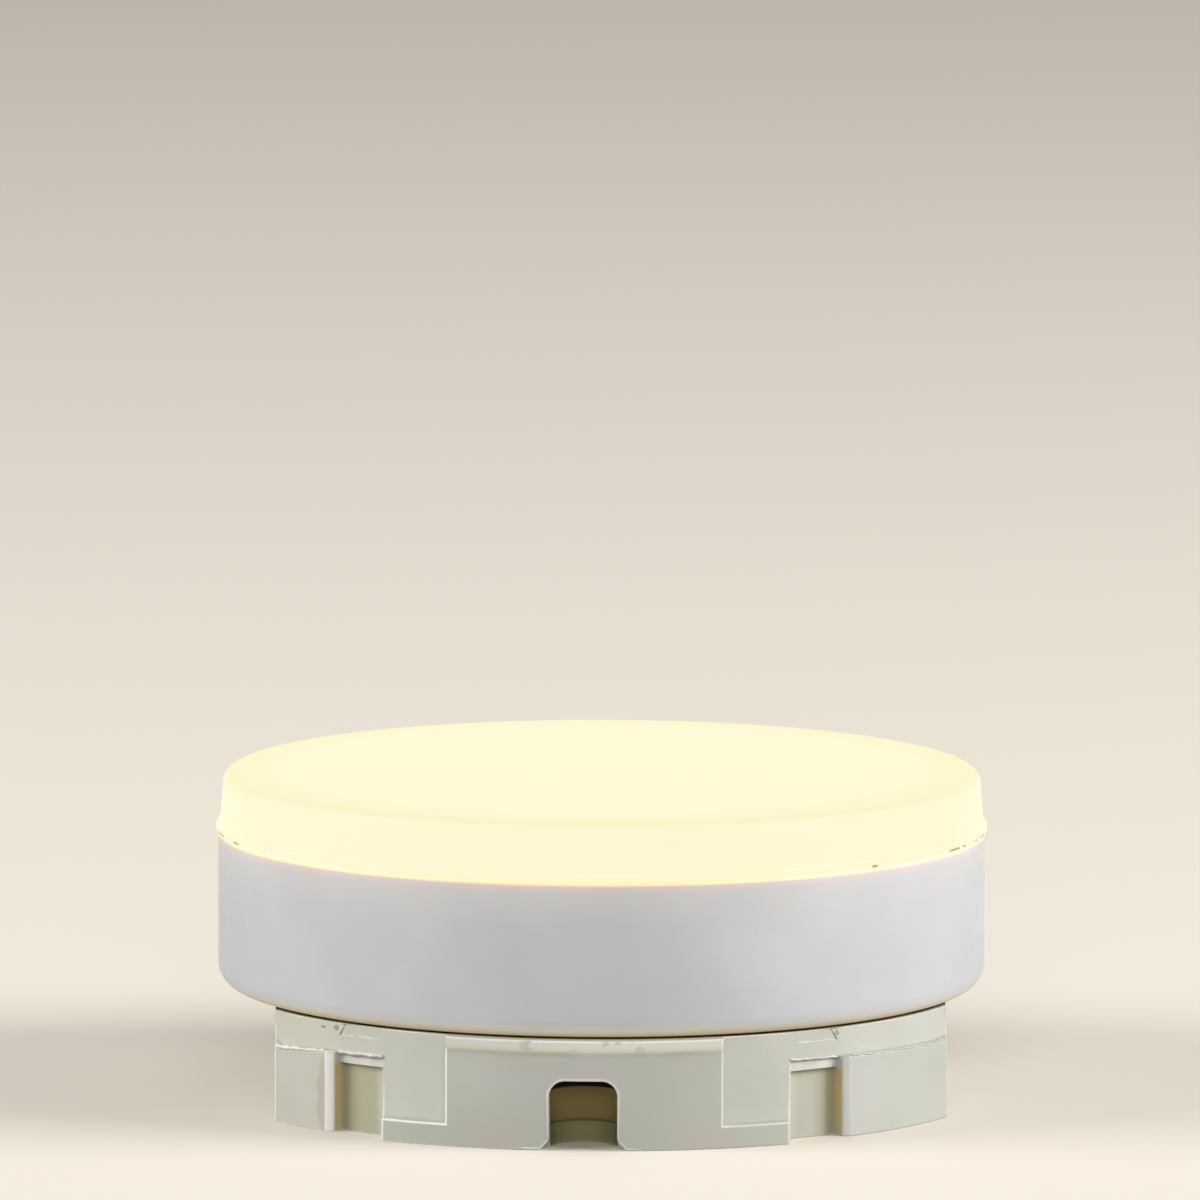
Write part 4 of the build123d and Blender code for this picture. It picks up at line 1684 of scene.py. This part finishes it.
@dataclass
class Studio:
    """A plain pale floor under soft light."""

    floor_side: float = 8.0
    floor_cells: int = 8
    floor_drop: float = 0.02 * MM
    floor_contact: float = 0.5 * MM
    floor_covered: float = 30.0 * MM
    floor_colour: Colour = (0.84, 0.775, 0.68)
    floor_shade: Colour = (0.81, 0.745, 0.65)
    floor_bounce: Colour = (0.25, 0.25, 0.25)
    floor_scale: float = 3.0
    floor_roughness: float = 0.9
    floor_specular: float = 0.1
    sky_colour: Colour = (1.0, 1.0, 1.0)
    sky_strength: float = 0.335
    aim: tuple[float, float, float] = (0.0, 0.0, 16.0 * MM)
    lamps: tuple[SoftBox, ...] = (
        SoftBox("right_box", (1.4, -0.25, 0.7), 0.9, 23.8),
        SoftBox("left_box", (-1.4, -0.25, 0.7), 0.9, 17.1),
        SoftBox("front_box", (0.0, -1.8, 0.9), 0.9, 11.0),
    )

    def build(self) -> None:
        """Make the floor, the sky and the lamps."""
        bm = bmesh.new()
        bmesh.ops.create_grid(
            bm, x_segments=self.floor_cells, y_segments=self.floor_cells, size=self.floor_side / 2,
            matrix=Matrix.Translation((0.0, 0.0, -self.floor_drop)),
        )
        mesh_object("pale_floor", bm, self.floor_material())
        world = bpy.data.worlds.new("soft_sky")
        world.use_nodes = True
        sky = world.node_tree.nodes["Background"]
        sky.inputs["Color"].default_value = (*self.sky_colour, 1.0)
        sky.inputs["Strength"].default_value = self.sky_strength
        bpy.context.scene.world = world
        for lamp in self.lamps:
            lamp.build(Vector(self.aim))
        bpy.context.scene.view_settings.view_transform = "Standard"

    def floor_material(self) -> Material:
        """Make a matte floor: pale to look at, grey in what it throws back, clear under the holder.

        Returns:
            The material.
        """
        graph = Graph("pale_floor")
        rays = graph.add("ShaderNodeLightPath").outputs
        seen = graph.math("MAXIMUM", rays["Is Camera Ray"], rays["Is Glossy Ray"])
        seen = graph.math("MAXIMUM", seen, rays["Is Transmission Ray"])
        tone = graph.blend(graph.noise(self.floor_scale), self.floor_colour, self.floor_shade)
        graph.surface(
            Base_Color=graph.blend(seen, self.floor_bounce, tone),
            Roughness=self.floor_roughness,
            Specular_IOR_Level=self.floor_specular,
        )
        touching = graph.math("LESS_THAN", rays["Ray Length"], self.floor_contact)
        covered = graph.math("LESS_THAN", graph.radius(), self.floor_covered)
        below = graph.add("ShaderNodeNewGeometry").outputs["Backfacing"]
        hidden = graph.math("MAXIMUM", below, graph.math("MAXIMUM", touching, covered))
        choice = graph.add("ShaderNodeMixShader")
        graph.feed(choice.inputs[0], hidden)
        graph.feed(choice.inputs[1], graph.shader.outputs["BSDF"])
        graph.feed(choice.inputs[2], graph.add("ShaderNodeBsdfTransparent").outputs["BSDF"])
        graph.feed(graph.output.inputs["Surface"], choice.outputs["Shader"])
        return graph.material


def dress_nodes() -> None:
    """Give each of the frame's nodes the finish of its slot."""
    made: dict[str, Material] = {}
    for part in frame["record"]["subparts"]:
        slot = part["material_slot"]
        if slot not in made:
            made[slot] = FINISHES[slot].material()
        mesh = frame["nodes"][part["node"]].data
        mesh.materials.clear()
        mesh.materials.append(made[slot])
        LOG.info("%s: dressed as %s", part["node"], slot)


def main() -> None:
    """Build the scene round the frame."""
    logging.basicConfig(level=logging.INFO, format="%(name)s: %(message)s")
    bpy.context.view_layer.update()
    dress_nodes()
    LampHousing().build()
    Diffuser().build()
    HolderBody().build()
    MouldFlash().build()
    BaseScrews().build()
    Studio().build()
    PhotoCamera().build()


if __name__ == "__main__":
    main()
